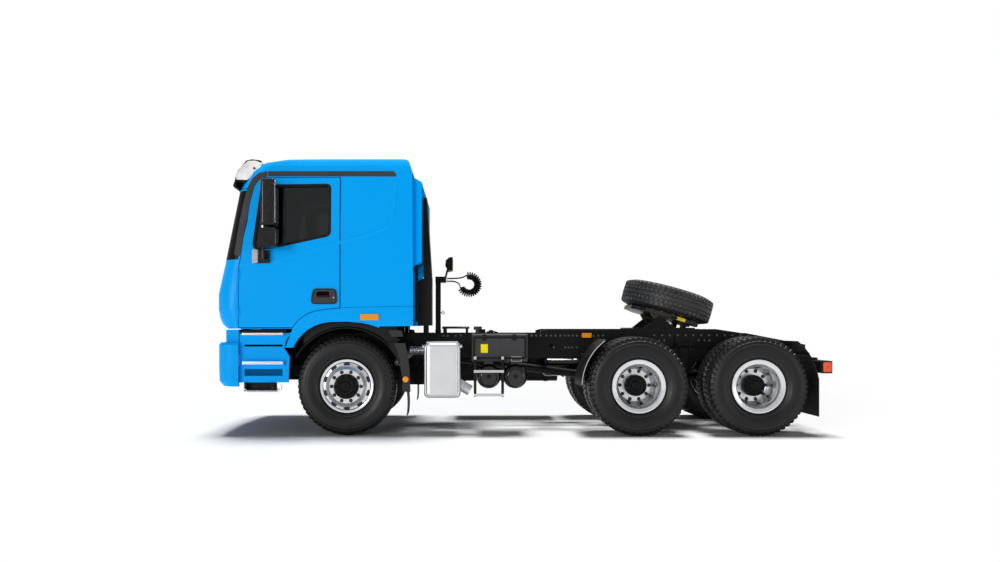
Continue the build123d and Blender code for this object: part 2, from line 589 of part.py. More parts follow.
VISOR_HALF_WIDTH = 1150
VISOR_CROWN = 42
VISOR = [
    # place, Z
    (-985, 3126), (-1078, 3136), (-1141, 3121), (-1187, 3065), (-1232, 3008), (-1256, 2951), (-1270, 2895),
    (-1290, 2838), (-1280, 2818), (-1232, 2786), (-1222, 2800), (-1258, 2838), (-1252, 2890), (-1238, 2946),
    (-1214, 3000), (-1170, 3056), (-1130, 3104), (-1076, 3118), (-985, 3108),
]
VISOR_END = [
    (-965, 3118), (-1078, 3136), (-1141, 3121), (-1187, 3065), (-1232, 3008), (-1256, 2951), (-1268, 2895),
    (-1150, 2860), (-1000, 2960),
]
with BuildPart() as sun_visor:
    for y, forward in ((-VISOR_HALF_WIDTH, 0), (0, VISOR_CROWN), (VISOR_HALF_WIDTH, 0)):
        with BuildSketch(side_plane(y)):
            with BuildLine():
                Polyline(*[(back(x - forward), z) for x, z in VISOR], close=True)
            make_face()
    loft()
    for side in SIDES.values():
        slab(VISOR_END, side * VISOR_HALF_WIDTH, side * (VISOR_HALF_WIDTH - 14))
    add(proud_form, mode=Mode.SUBTRACT)
save(sun_visor, "sun_visor")

# ---------------------------------------------------------------- cab inside
WHEEL_CENTRE = (-800, -620, 2010)
with BuildPart() as dashboard:
    slab([(-1280, 1950), (-1150, 1985), (-985, 1925), (-985, 1740), (-1130, 1560), (-1230, floor_top + FIT),
          (-1340, floor_top + FIT), (-1340, 1700)], 1080, -1080)
    bar((-1060, WHEEL_CENTRE[1], 1800), WHEEL_CENTRE, 28)
    rim_plane = Plane(origin=(back(WHEEL_CENTRE[0]), WHEEL_CENTRE[1], WHEEL_CENTRE[2]),
                      x_dir=(0, 1, 0), z_dir=(260, 0, 210))
    with BuildSketch(rim_plane):
        Circle(60)
        Rectangle(420, 46)
    extrude(amount=14)
    with BuildSketch(Plane(origin=rim_plane.from_local_coords((225, 0, 7)), x_dir=rim_plane.x_dir,
                           z_dir=rim_plane.y_dir)):
        Circle(15)
    revolve(axis=Axis(rim_plane.from_local_coords((0, 0, 7)), rim_plane.z_dir))
save(dashboard, "dashboard")

SEAT_Y = 690
with BuildPart() as seats:
    for side in SIDES.values():
        slab([(-560, floor_top + FIT), (-560, 1600), (-640, 1620), (-650, 1740), (-160, 1715), (-60, 2290),
              (-20, 2480), (70, 2480), (50, 2290), (0, 1700), (-60, 1600), (-60, floor_top + FIT)],
             side * (SEAT_Y - 245), side * (SEAT_Y + 245))
    # bunk across the rear, on the tunnel
    block(150, LOWER_BACK - 8, -1130, 1130, TUNNEL_TOP + FIT, 1780)
save(seats, "seats")

# ---------------------------------------------------------------- doors
for name, side in SIDES.items():
    with BuildPart() as door:
        add(cab_shell)
        with BuildSketch(side_plane(0)):
            door_face(DOOR_GAP, DOOR_REAR_GAP)
        extrude(amount=-side * FAR, mode=Mode.INTERSECT)
        with BuildSketch(side_plane(0)):
            window_face()
        extrude(amount=-side * FAR, mode=Mode.SUBTRACT)
        for level in HINGE_LEVELS:
            hinge_barrel(side, level - 30, level + 30, 1)
    save(door, f"door_{name}")
    with BuildPart() as window:
        add(cab_form(22))
        add(cab_form(22 + GLASS), mode=Mode.SUBTRACT)
        with BuildSketch(side_plane(0)):
            window_face(FIT)
        extrude(amount=-side * FAR, mode=Mode.INTERSECT)
    save(window, f"window_{name}")
    with BuildPart() as mirror_set:
        # two heads on one upright tube, held by an arm above and one below the window
        block(-900, -738, side * 1300, side * 1520, 2345, 2865)
        fillet(mirror_set.edges(), 34)
        block(-900, -738, side * 1305, side * 1500, 2118, 2322)
        bar((-905, side * 1345, 1990), (-905, side * 1345, 2900), 15)
        bar((-905, side * 1345, 2888), (-930, side * 1190, 2888), 15)
        bar((-905, side * 1345, 2020), (-905, side * (CAB_HALF_WIDTH - 20), 2020), 20)
        block(-1040, -850, side * (CAB_HALF_WIDTH - 20), side * (CAB_HALF_WIDTH + 36), 1950, 2096)
        add(proud_form, mode=Mode.SUBTRACT)
    save(mirror_set, f"mirror_{name}")

with BuildPart() as marker_lamps:
    for side in SIDES.values():
        block(168, 372, side * (CAB_HALF_WIDTH + FIT), side * (CAB_HALF_WIDTH + 16), 1312, 1378)
save(marker_lamps, "marker_lamps")


# ---------------------------------------------------------------- bumper, steps and mudguards
BUMPER_BOTTOM = 563
BUMPER_TOP = 1058
BUMPER_CORNER = 190
BUMPER_FACE = -1466
BUMPER_CROWN = 60
BUMPER_SECTIONS = [
    # Z, set back from the widest section
    (BUMPER_BOTTOM, 48), (BUMPER_BOTTOM + 55, 6), (BUMPER_BOTTOM + 200, 0), (BUMPER_TOP - 25, 0), (BUMPER_TOP, 22),
]


def bumper_form(inset):
    """The bumper's closed outer form, drawn in by inset."""
    with BuildPart() as form:
        for z, step in BUMPER_SECTIONS:
            x = back(BUMPER_FACE + step + inset)
            y = CAB_HALF_WIDTH - step / 2 - inset
            r = BUMPER_CORNER - inset
            near = r * (1 - cos(radians(45)))
            with BuildSketch(Plane.XY.offset(z)):
                with BuildLine():
                    ThreePointArc((x, y - r), (x - BUMPER_CROWN, 0), (x, r - y))
                    ThreePointArc((x, r - y), (x + near, near - y), (x + r, -y))
                    Line((x + r, -y), (back(-1208), -y))
                    Line((back(-1208), -y), (back(-1208), y))
                    Line((back(-1208), y), (x + r, y))
                    ThreePointArc((x + r, y), (x + near, y - near), (x, y - r))
                make_face()
        loft(ruled=True)
    return form.part


BUMPER_WALL = 45
LAMP_Y = (640, 1010)
LAMP_Z = (720, 920)
INTAKE_HALF_WIDTH = 520
with BuildPart() as bumper:
    add(bumper_form(0))
    with BuildPart(mode=Mode.PRIVATE) as hollow:
        add(bumper_form(BUMPER_WALL))
    add(hollow.part, mode=Mode.SUBTRACT)
    block(-1700, -1300, -INTAKE_HALF_WIDTH, INTAKE_HALF_WIDTH, 700, 900, mode=Mode.SUBTRACT)
    for side in SIDES.values():
        block(-1700, -1380, side * LAMP_Y[0], side * LAMP_Y[1], *LAMP_Z, mode=Mode.SUBTRACT)
        # recessed filler between the bumper and the cab, and the arm to the frame
        block(-1357, -1215, side * 640, side * 1185, BUMPER_TOP - 10, 1203)
        block(-1420, -1215, side * 600, side * 1195, BUMPER_TOP - 28, BUMPER_TOP)
        block(-1490, RAIL_FRONT + 10 - FIT, side * 300, side * (RAIL_OUTER_Y - RAIL_STEEL - FIT), 920, 1040)
save(bumper, "bumper")

with BuildPart() as headlamps:
    for side in SIDES.values():
        block(-1476, -1400, side * (LAMP_Y[0] + FIT), side * (LAMP_Y[1] - FIT), LAMP_Z[0] + FIT, LAMP_Z[1] - FIT)
    add(bumper_form(10), mode=Mode.INTERSECT)
save(headlamps, "headlamps")

STEP_FRONT = -1203
STEP_Y = 1190
with BuildPart() as step_panels:
    for side in SIDES.values():
        slab([(STEP_FRONT, 608), (STEP_FRONT, 1165), (-640, 1165), (-690, 1040), (-700, 990), (-640, 900),
              (-655, 608)], side * STEP_Y, side * (STEP_Y - 40))
        for z1, z2 in ((1012, 1036), (682, 760)):
            block(-1150, -720, side * (STEP_Y - 28), side * (STEP_Y + 10), z1, z2, mode=Mode.SUBTRACT)
        block(-1160, -700, side * STEP_Y, side * (STEP_Y + 38), 806, 850)
        block(-1170, -705, side * STEP_Y, side * (STEP_Y + 38), 1148, 1165)
save(step_panels, "step_panels")

with BuildPart() as step_treads:
    for side in SIDES.values():
        inner_face = side * (STEP_Y - 40 - FIT)
        block(-1200, -690, inner_face, side * 1120, 640, 1206)
        block(-1150, -1110, inner_face, side * 960, 1020, 1100)
        block(-760, -720, inner_face, side * 960, 1020, 1100)
        block(-1150, -1110, side * 960, side * (RAIL_OUTER_Y + 30 + FIT), 1020, 1100)
        block(-760, -720, side * 960, side * (RAIL_OUTER_Y + FIT), 1020, 1100)
        # hanging lower step
        block(-1150, -820, side * 980, side * (STEP_Y + 20), 508, 530)
        block(-1150, -820, side * 1125, side * 1135, 530, 660)
        block(-1150, -1125, side * 1000, side * (STEP_Y + 20), 530, 608 - FIT)
        block(-845, -820, side * 1000, side * (STEP_Y + 20), 530, 608 - FIT)
save(step_treads, "step_treads")


def arc_sheet(x, z, radius, start, end, y1, y2, steel=10):
    """A curved sheet about a crosswise line; start and end are degrees above the rearward level."""
    def point(r, angle):
        return (back(x) + r * cos(radians(angle)), z + r * sin(radians(angle)))
    middle = (start + end) / 2
    with BuildSketch(side_plane(y1)) as face:
        with BuildLine():
            ThreePointArc(point(radius, start), point(radius, middle), point(radius, end))
            Line(point(radius, end), point(radius + steel, end))
            ThreePointArc(point(radius + steel, end), point(radius + steel, middle), point(radius + steel, start))
            Line(point(radius + steel, start), point(radius, start))
        make_face()
    extrude(face.sketch, amount=y1 - y2)


LINER_Y = CAB_HALF_WIDTH - WALL - 8
with BuildPart() as mudguards:
    for side in SIDES.values():
        # behind the front wheel
        arc_sheet(0, AXLE_Z, 655, -5, 46, side * 1232, side * 850)
        arc_sheet(0, AXLE_Z, 655, 44, 150, side * LINER_Y, side * 620)
        slab([(470, 1053), (676, 1053), (715, 507), (640, 507), (640, 640), (600, 840)], side * 1242,
             side * 1228)
        bar((560, side * (RAIL_OUTER_Y + FIT), 1080), (560, side * 1110, 1080), 18)
        bar((560, side * 1100, 1080), (455, side * 1100, 1040), 18)
        # ahead of the first drive axle and behind the second
        arc_sheet(MID_AXLE, AXLE_Z, 640, 125, 180, side * 1250, side * 620)
        bar((MID_AXLE - 550, side * (RAIL_OUTER_Y + FIT), 900), (MID_AXLE - 550, side * 1200, 900), 20)
        arc_sheet(REAR_AXLE, AXLE_Z, 660, 6, 50, side * 1250, side * 620)
        bar((REAR_AXLE + 560, side * (RAIL_OUTER_Y + FIT), 930), (REAR_AXLE + 560, side * 1200, 930), 20)
        block(REAR_AXLE + 656, REAR_AXLE + 668, side * 620, side * 1250, 228, 660)
save(mudguards, "mudguards")

# ---------------------------------------------------------------- equipment along the frame
PIPE_Z = 803                # exhaust pipe between the front spring and the rail
with BuildPart() as silencer:
    block(876, 1290, -1185, -640, 428, 1050)
    fillet(silencer.edges().filter_by(Axis.Z), 70)
    fillet(silencer.edges().group_by(Axis.Z)[0], 50)
    fillet(silencer.edges().group_by(Axis.Z)[-1], 40)
    block(905, 1260, -1150, -670, 1050, 1064)
    bar((1230, -960, 600), (1400, -960, 500), 62)
    for place in (940, 1200):
        block(place, place + 50, -660, -RAIL_OUTER_Y - FIT, 930, 1000)
    with BuildLine():
        route = FilletPolyline((back(900), -800, 957), (back(740), -800, 957), (back(520), -520, PIPE_Z),
                               (back(520), -330 - FIT, PIPE_Z), radius=70)
    with BuildSketch(Plane(origin=route @ 0, z_dir=route % 0)):
        Circle(42)
    sweep(path=route)
save(silencer, "silencer")

with BuildPart() as battery_box:
    block(1420, 2052, -1130, -560, 839, 1154)
    fillet(battery_box.edges().filter_by(Axis.X), 25)
    for place in (1480, 1940):
        block(place, place + 50, -580, -RAIL_OUTER_Y - FIT, 900, 1000)
    bar((1490, -850, 1150), (1490, -850, 1200), 26)
    bar((1490, -850, 1200), (1490, -850, 1240), 48)
save(battery_box, "battery_box")

AIR_TANK_RADIUS = 138
AIR_TANK_Z = 670
AIR_TANK_PLACES = (1612, 1916)
with BuildPart() as air_tanks:
    for place in AIR_TANK_PLACES:
        bar((place, -1128, AIR_TANK_Z), (place, -600, AIR_TANK_Z), AIR_TANK_RADIUS)
    fillet(air_tanks.edges().group_by(Axis.Y)[0], 66)
    fillet(air_tanks.edges().group_by(Axis.Y)[-1], 38)
    for place in AIR_TANK_PLACES:
        for y in (-1000, -700):
            block(place - 50, place + 50, y - 20, y + 20, 790, 839 - FIT)
save(air_tanks, "air_tanks")

with BuildPart() as side_ladder:
    for place in (1455, 1765):
        block(place - 14, place + 14, -1215, -1187, 452, 900)
        block(place - 14, place + 14, -1215, -1130 - FIT, 872, 900)
    for z in (452, 720):
        block(1455, 1765, -1215, -1160, z, z + 26)
save(side_ladder, "side_ladder")

with BuildPart() as deck:
    block(1062, 1395, -455, 455, 1212, 1230)
    for side in SIDES.values():
        for place in (1075, 1350):
            block(place, place + 30, side * 360, side * 420, RAIL_TOP + FIT, 1212)
save(deck, "deck")

with BuildPart() as fuel_tank:
    block(1180, 2570, 570, 1200, 510, 1075)
    fillet(fuel_tank.edges().filter_by(Axis.X), 120)
    for place in (1400, 2200):
        block(place, place + 60, RAIL_OUTER_Y + FIT, 640, 700, 1050)
save(fuel_tank, "fuel_tank")

with BuildPart() as air_intake:
    slab([(864, 1785), (864, 2723), (900, 2723), (958, 1785)], -1000, -700)
    slab([(800, 1250), (800, 1760), (864, 1790), (958, 1790), (958, 1250)], -1010, -690)
    block(850, 900, -720, -360, RAIL_TOP + FIT, 1270)
save(air_intake, "air_intake")

STAND_X = 1010
STAND_Y = -250
STAND_TOP = 1850
with BuildPart() as hose_stand:
    block(STAND_X - 32, STAND_X + 32, STAND_Y - 32, STAND_Y + 32, RAIL_TOP + FIT, STAND_TOP)
    block(STAND_X - 32, STAND_X + 95, STAND_Y - 110, STAND_Y + 110, 1780, STAND_TOP)
    bar((STAND_X + 90, STAND_Y, STAND_TOP - 10), (1130, STAND_Y, 1960), 12)
    with BuildSketch(side_plane(STAND_Y)):
        with BuildLine():
            Polyline((back(1190), 2092), (back(1190), 1920), (back(1130), 1930), (back(1098), 1985),
                     (back(1105), 2050), (back(1145), 2088), close=True)
        make_face()
    extrude(amount=80, both=True)
save(hose_stand, "hose_stand")

COIL_X = 1392
COIL_Z = 1757
COIL_BEND = 108             # radius of the bow that the coiled line makes
COIL_RADIUS = 50
COIL_START = 108            # degrees from level, upper end
COIL_SWEEP = 268
LEAD_RADIUS = 9
for name, y in (("a", STAND_Y - 54), ("b", STAND_Y + 54)):
    with BuildPart() as air_line:
        start = radians(COIL_START)
        end = radians(COIL_START - COIL_SWEEP)
        upper = (back(COIL_X) + COIL_BEND * cos(start), y, COIL_Z + COIL_BEND * sin(start))
        lower = (back(COIL_X) + COIL_BEND * cos(end), y, COIL_Z + COIL_BEND * sin(end))
        with BuildSketch(Plane(origin=upper, z_dir=(sin(start), 0, -cos(start)))):
            Circle(COIL_RADIUS)
        revolve(axis=Axis((back(COIL_X), y, COIL_Z), (0, 1, 0)), revolution_arc=COIL_SWEEP)
        with BuildLine():
            top_lead = FilletPolyline(upper, (back(1290), y, 1838), (back(1215), y, 1832),
                                      (back(STAND_X + 95 + FIT), y, 1832), radius=60)
        with BuildSketch(Plane(origin=top_lead @ 0, z_dir=top_lead % 0)):
            Circle(LEAD_RADIUS)
        sweep(path=top_lead)
        with BuildLine():
            low_lead = FilletPolyline(lower, (back(1270), y, 1768), (back(1215), y, 1798),
                                      (back(STAND_X + 95 + FIT), y, 1798), radius=45)
        with BuildSketch(Plane(origin=low_lead @ 0, z_dir=low_lead % 0)):
            Circle(LEAD_RADIUS)
        sweep(path=low_lead)
    save(air_line, f"air_line_{name}")

with BuildPart() as rear_lamps:
    for side in SIDES.values():
        block(5346, 5470, side * 860, side * 1240, 715, 850)
        block(5400, 5440, side * (RAIL_OUTER_Y + FIT), side * 860, 840, 880)
        block(5400, 5440, side * 860, side * 900, 780, 880)
save(rear_lamps, "rear_lamps")

# ---------------------------------------------------------------- fifth wheel and the spare wheel on it
tilt = radians(COUPLER_TILT)
coupler_plane = Plane(origin=(back(COUPLER_X), 0, COUPLER_Z), x_dir=(cos(tilt), 0, -sin(tilt)),
                      z_dir=(sin(tilt), 0, cos(tilt)))
PLATE_THICKNESS = 45
EAR_INNER = 330
with BuildPart() as fifth_wheel_base:
    for side in SIDES.values():
        slab([(2263, RAIL_TOP + FIT), (2263, 1190), (2330, SUBFRAME_TOP), (4384, SUBFRAME_TOP), (4700, RAIL_TOP + FIT)],
             side * 340, side * 440)
        slab([(COUPLER_X - 190, SUBFRAME_TOP + 14), (COUPLER_X - 45, COUPLER_Z + 20), (COUPLER_X, COUPLER_Z + 40),
              (COUPLER_X + 45, COUPLER_Z + 20), (COUPLER_X + 190, SUBFRAME_TOP + 14)], side * 376, side * 416)
        bar((COUPLER_X, side * 300, COUPLER_Z), (COUPLER_X, side * 420, COUPLER_Z), 26)
    block(COUPLER_X - 330, COUPLER_X + 420, -440, 440, SUBFRAME_TOP, SUBFRAME_TOP + 16)
    # rubber stop under the plate's tail
    with BuildSketch(coupler_plane.offset(COUPLER_TOP - PLATE_THICKNESS - FIT)):
        with Locations((330, -250), (330, 250)):
            Rectangle(60, 80)
    extrude(amount=-62)
save(fifth_wheel_base, "fifth_wheel_base")

JAW_X = 60                  # kingpin's place along the plate
KINGPIN_BORE = 25.7
with BuildPart() as fifth_wheel_plate:
    with BuildSketch(coupler_plane.offset(COUPLER_TOP)):
        with BuildLine():
            Polyline((-200, 440), (-350, 240), (-350, -240), (-200, -440), (150, -455), (300, -420), (500, -260),
                     (500, -130), (250, -45), (250, 45), (500, 130), (500, 260), (300, 420), (150, 455),
                     close=True)
        make_face()
    extrude(amount=-PLATE_THICKNESS)
    with BuildSketch(coupler_plane.offset(COUPLER_TOP)):
        with Locations((155, 0)):
            Rectangle(200, 90)
    extrude(amount=-PLATE_THICKNESS, mode=Mode.SUBTRACT)
    with BuildSketch(coupler_plane.offset(COUPLER_TOP)):
        with Locations((JAW_X, 0)):
            Circle(70)
            Circle(KINGPIN_BORE, mode=Mode.SUBTRACT)
    extrude(amount=-70)
    with BuildSketch(coupler_plane.offset(COUPLER_TOP + 1)):
        with Locations((JAW_X, 0)):
            Circle(KINGPIN_BORE)
    extrude(amount=-80, mode=Mode.SUBTRACT)
    for side in SIDES.values():
        with BuildSketch(Plane(origin=coupler_plane.from_local_coords((0, side * 350, 0)),
                               x_dir=coupler_plane.x_dir, z_dir=(0, -1, 0))):
            with BuildLine():
                Polyline((-120, 60), (-40, -20), (40, -20), (120, 60), close=True)
            make_face()
            Circle(42)
            Circle(26 + FIT, mode=Mode.SUBTRACT)
        extrude(amount=20, both=True)
save(fifth_wheel_plate, "fifth_wheel_plate")

SPARE_X = 108               # wheel's middle along the plate
spare_height = COUPLER_TOP + RIM_OFFSET + FIT


def laid_flat(part):
    """A wheel built on a crosswise axle at the front axle's place, laid on the coupler plate, disc down."""
    upright = Plane(origin=(back(0), 0, AXLE_Z), x_dir=(1, 0, 0), z_dir=(0, -1, 0))
    lying = Plane(origin=coupler_plane.from_local_coords((SPARE_X, 0, spare_height)),
                  x_dir=coupler_plane.x_dir, z_dir=-coupler_plane.z_dir)
    return part.moved(lying.location * upright.location.inverse())


with BuildPart() as upright_tyre:
    tyre_solid(0, 0, AXLE_Z)
with BuildPart() as spare_tyre:
    add(laid_flat(upright_tyre.part))
save(spare_tyre, "spare_tyre")
with BuildPart() as upright_rim:
    rim_solid(0, 0, AXLE_Z, -1)
with BuildPart() as spare_rim:
    add(laid_flat(upright_rim.part))
save(spare_rim, "spare_rim")
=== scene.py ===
"""Looks of a cab-over tractor unit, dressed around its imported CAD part.

Lengths are millimetres until at() turns them into metres of the shared frame: x behind the front axle, y to
the truck's right of its middle line, z above the ground.
"""
import math

import bmesh
import bpy
from mathutils import Matrix, Vector


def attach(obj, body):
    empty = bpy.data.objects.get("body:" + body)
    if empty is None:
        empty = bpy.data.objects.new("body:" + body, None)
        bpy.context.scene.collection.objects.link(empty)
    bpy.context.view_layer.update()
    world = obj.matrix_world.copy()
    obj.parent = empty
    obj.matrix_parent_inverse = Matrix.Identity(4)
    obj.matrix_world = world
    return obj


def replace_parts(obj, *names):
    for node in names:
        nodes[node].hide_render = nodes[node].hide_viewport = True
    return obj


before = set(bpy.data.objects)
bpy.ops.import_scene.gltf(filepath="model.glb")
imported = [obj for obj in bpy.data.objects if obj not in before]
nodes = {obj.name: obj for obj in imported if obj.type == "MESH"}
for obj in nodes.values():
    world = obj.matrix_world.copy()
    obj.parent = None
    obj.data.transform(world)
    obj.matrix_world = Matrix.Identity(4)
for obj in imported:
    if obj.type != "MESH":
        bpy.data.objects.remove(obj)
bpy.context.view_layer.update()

FRONT_AXLE_X = -1975
MID_AXLE = 3300
REAR_AXLE = 4650
AXLE_Z = 562.5
FRONT_WHEEL_Y = 1015
REAR_WHEEL_Y = 930
RIM_OFFSET = 172.5
HALF_WIDTH = 1245
STAND_X = 1010
STAND_Y = -250
SIDES = {"left": -1, "right": 1}


def at(x, y, z):
    """The place in metres of the shared frame."""
    return Vector((FRONT_AXLE_X + x, y, z)) / 1000


# ---- camera, floor and light
CAMERA_PLACE = (1341, -11200, 1245)
camera = bpy.data.objects.new("camera", bpy.data.cameras.new("camera"))
bpy.context.scene.collection.objects.link(camera)
camera.location = at(*CAMERA_PLACE)
camera.rotation_euler = (math.radians(90), 0, 0)
camera.data.sensor_width = 36
camera.data.lens = 31.91
camera.data.shift_x = 0.035
camera.data.shift_y = 0.045
camera.data.clip_end = 300
bpy.context.scene.camera = camera
bpy.context.scene.view_settings.view_transform = "Standard"


def srgb(r, g, b):
    """A screen colour from 0 to 255 as linear light."""
    parts = (r / 255, g / 255, b / 255)
    return tuple(c / 12.92 if c <= 0.04045 else ((c + 0.055) / 1.055) ** 2.4 for c in parts)


def white_world(lit, mirrored):
    """White seen straight or through glass, with an even light on the object and a paler one in its gloss."""
    world = bpy.data.worlds.new("studio")
    bpy.context.scene.world = world
    world.use_nodes = True
    tree = world.node_tree
    path = tree.nodes.new("ShaderNodeLightPath")

    def white(strength, node=None):
        node = node or tree.nodes.new("ShaderNodeBackground")
        node.inputs["Color"].default_value = (1, 1, 1, 1)
        node.inputs["Strength"].default_value = strength
        return node.outputs[0]

    def choose(factor, otherwise, chosen):
        mix = tree.nodes.new("ShaderNodeMixShader")
        tree.links.new(factor, mix.inputs[0])
        tree.links.new(otherwise, mix.inputs[1])
        tree.links.new(chosen, mix.inputs[2])
        return mix.outputs[0]

    straight = tree.nodes.new("ShaderNodeMath")
    straight.operation = "MAXIMUM"
    tree.links.new(path.outputs["Is Camera Ray"], straight.inputs[0])
    tree.links.new(path.outputs["Is Transmission Ray"], straight.inputs[1])
    shown = choose(path.outputs["Is Glossy Ray"], white(lit), white(mirrored))
    shown = choose(straight.outputs[0], shown, white(1, tree.nodes["Background"]))
    tree.links.new(shown, tree.nodes["World Output"].inputs["Surface"])


SKY = 0.10
white_world(lit=SKY, mirrored=0.55)


def sun(name, towards, strength, angle):
    """Far light shining towards a direction; strength is what it adds to a surface that it meets squarely."""
    lamp = bpy.data.objects.new(name, bpy.data.lights.new(name, "SUN"))
    lamp.data.energy = strength * math.pi
    lamp.data.angle = math.radians(angle)
    bpy.context.scene.collection.objects.link(lamp)
    lamp.rotation_euler = Vector(towards).to_track_quat("-Z", "Y").to_euler()
    return strength * -Vector(towards).normalized().z


# what falls on the level floor, so that its finish can be made to come out white
ON_FLOOR = (SKY + sun("key", (0.0, -0.12, -1.0), strength=0.92, angle=20)
            + sun("front_fill", (0.55, 0.83, -0.07), strength=0.49, angle=24)
            + sun("rear_fill", (-0.70, 0.70, -0.06), strength=0.10, angle=24))


# ---- finishes
def finish(name, colour, rough=0.5, metal=0.0, coat=0.0, cloud=0.1, cloud_size=0.4, grain=0.0,
           grain_size=0.004, stretch=(1, 1, 1), dust=0.0, dust_top=1.3, streak=0.0, specular=0.5):
    """A surface whose colour, gloss and fine relief vary as the real one's do."""
    material = bpy.data.materials.new(name)
    material.use_nodes = True
    tree = material.node_tree
    shader = tree.nodes["Principled BSDF"]
    shader.inputs["Metallic"].default_value = metal
    shader.inputs["Coat Weight"].default_value = coat
    shader.inputs["Coat Roughness"].default_value = 0.06
    shader.inputs["Specular IOR Level"].default_value = specular

    def node(kind, **values):
        made = tree.nodes.new("ShaderNode" + kind)
        for key, value in values.items():
            setattr(made, key, value)
        return made

    def noise(size, detail=3.0, stretched=(1, 1, 1)):
        mapping = node("Mapping")
        mapping.inputs["Scale"].default_value = stretched
        tree.links.new(coords.outputs["Object"], mapping.inputs["Vector"])
        made = node("TexNoise")
        made.inputs["Scale"].default_value = 1 / size
        made.inputs["Detail"].default_value = detail
        tree.links.new(mapping.outputs[0], made.inputs["Vector"])
        return made.outputs["Fac"]

    def spread(source, low, high, start=0.3, end=0.7):
        made = node("MapRange")
        made.inputs["From Min"].default_value = start
        made.inputs["From Max"].default_value = end
        made.inputs["To Min"].default_value = low
        made.inputs["To Max"].default_value = high
        tree.links.new(source, made.inputs["Value"])
        return made.outputs[0]

    coords = node("TexCoord")
    clouds = noise(cloud_size, 5)
    ramp = node("ValToRGB")
    ramp.color_ramp.elements[0].position = 0.3
    ramp.color_ramp.elements[1].position = 0.7
    ramp.color_ramp.elements[0].color = (*[c * (1 - cloud) for c in colour], 1)
    ramp.color_ramp.elements[1].color = (*[min(1, c * (1 + cloud)) for c in colour], 1)
    tree.links.new(clouds, ramp.inputs[0])
    shown = ramp.outputs[0]
    if dust:
        split = node("SeparateXYZ")
        tree.links.new(coords.outputs["Object"], split.inputs[0])
        low = spread(split.outputs["Z"], 1, 0, 0.1, dust_top)
        speckle = spread(noise(0.09, 8), 0, dust, 0.42, 0.75)
        amount = node("Math", operation="MULTIPLY")
        tree.links.new(low, amount.inputs[0])
        tree.links.new(speckle, amount.inputs[1])
        mix = node("Mix", data_type="RGBA")
        tree.links.new(amount.outputs[0], mix.inputs["Factor"])
        tree.links.new(shown, mix.inputs["A"])
        mix.inputs["B"].default_value = (*srgb(118, 110, 100), 1)
        shown = mix.outputs["Result"]
    tree.links.new(shown, shader.inputs["Base Color"])
    tree.links.new(spread(noise(cloud_size / 3, 4, stretch), max(0.02, rough - 0.05), min(1, rough + 0.06)),
                   shader.inputs["Roughness"])
    if grain or streak:
        bump = node("Bump")
        bump.inputs["Strength"].default_value = grain or streak
        bump.inputs["Distance"].default_value = 0.001
        tree.links.new(noise(grain_size, 2, stretch), bump.inputs["Height"])
        tree.links.new(bump.outputs[0], shader.inputs["Normal"])
    return material


def glassy(name, colour, rough=0.02):
    """Tinted glass or clear plastic with a faint film of dust."""
    material = finish(name, colour, rough, cloud=0.06, cloud_size=0.5)
    shader = material.node_tree.nodes["Principled BSDF"]
    shader.inputs["Transmission Weight"].default_value = 1.0
    shader.inputs["IOR"].default_value = 1.46
    return material


BLUE = srgb(0, 166, 250)
paint = finish("blue_paint", BLUE, 0.34, coat=0.05, cloud=0.025, cloud_size=1.2, grain=0.02,
               grain_size=0.0025, specular=0.05)
paint_low = finish("blue_paint_low", BLUE, 0.36, coat=0.04, cloud=0.03, cloud_size=0.8, grain=0.03,
                   grain_size=0.0025, dust=0.03, dust_top=1.0, specular=0.05)
# painted shade: a darker blue for the shaded back of the steps' lower pocket
recess_painted_shade = finish("blue_painted_shade", srgb(0, 84, 134), 0.6, cloud=0.05, cloud_size=0.3, specular=0.03)
red_amber = finish("red_amber_lens", srgb(238, 78, 16), 0.2, coat=0.3, cloud=0.1, cloud_size=0.02,
                   grain=0.5, grain_size=0.002)
paint_top = finish("blue_paint_top", BLUE, 0.6, cloud=0.03, cloud_size=0.8, grain=0.03, grain_size=0.0025,
                   specular=0.05)
paint_back = finish("blue_paint_back", BLUE, 0.7, cloud=0.03, cloud_size=0.8, grain=0.03, grain_size=0.0025,
                    specular=0.0)
grey_trim = finish("grey_trim", srgb(56, 57, 59), 0.55, cloud=0.08, cloud_size=0.2, grain=0.25,
                   grain_size=0.002, specular=0.2)
dark_trim = finish("dark_trim", srgb(48, 48, 49), 0.5, cloud=0.1, cloud_size=0.2, grain=0.25,
                   grain_size=0.002, specular=0.2)
black_gloss = finish("black_gloss", srgb(10, 10, 11), 0.14, coat=0.35, cloud=0.2, specular=0.2)
screen_black = finish("screen_black", srgb(8, 8, 9), 0.35, cloud=0.2, specular=0.12)
mirror_black = finish("mirror_black", srgb(12, 12, 12), 0.25, coat=0.15, cloud=0.15, cloud_size=0.2,
                      grain=0.08, grain_size=0.0018, specular=0.2)
black_plastic = finish("black_plastic", srgb(17, 17, 18), 0.5, cloud=0.15, cloud_size=0.2, grain=0.3,
                       grain_size=0.0018, dust=0.08, specular=0.14)
guard_plastic = finish("guard_plastic", srgb(13, 13, 14), 0.5, cloud=0.15, cloud_size=0.2, grain=0.3,
                       grain_size=0.0018, dust=0.1, specular=0.18)
chassis_black = finish("chassis_black", srgb(13, 13, 14), 0.4, coat=0.08, cloud=0.25, cloud_size=0.25,
                       grain=0.12, grain_size=0.006, dust=0.1, specular=0.12)
cast_black = finish("cast_black", srgb(18, 18, 19), 0.6, cloud=0.25, cloud_size=0.12, grain=0.5,
                    grain_size=0.004, dust=0.16, specular=0.14)
box_grey = finish("box_grey", srgb(50, 50, 52), 0.5, cloud=0.3, cloud_size=0.3, grain=0.3, grain_size=0.002,
                  specular=0.3)
hub_black = finish("hub_black", srgb(9, 9, 10), 0.4, cloud=0.3, cloud_size=0.05, grain=0.3,
                   grain_size=0.004, specular=0.12)
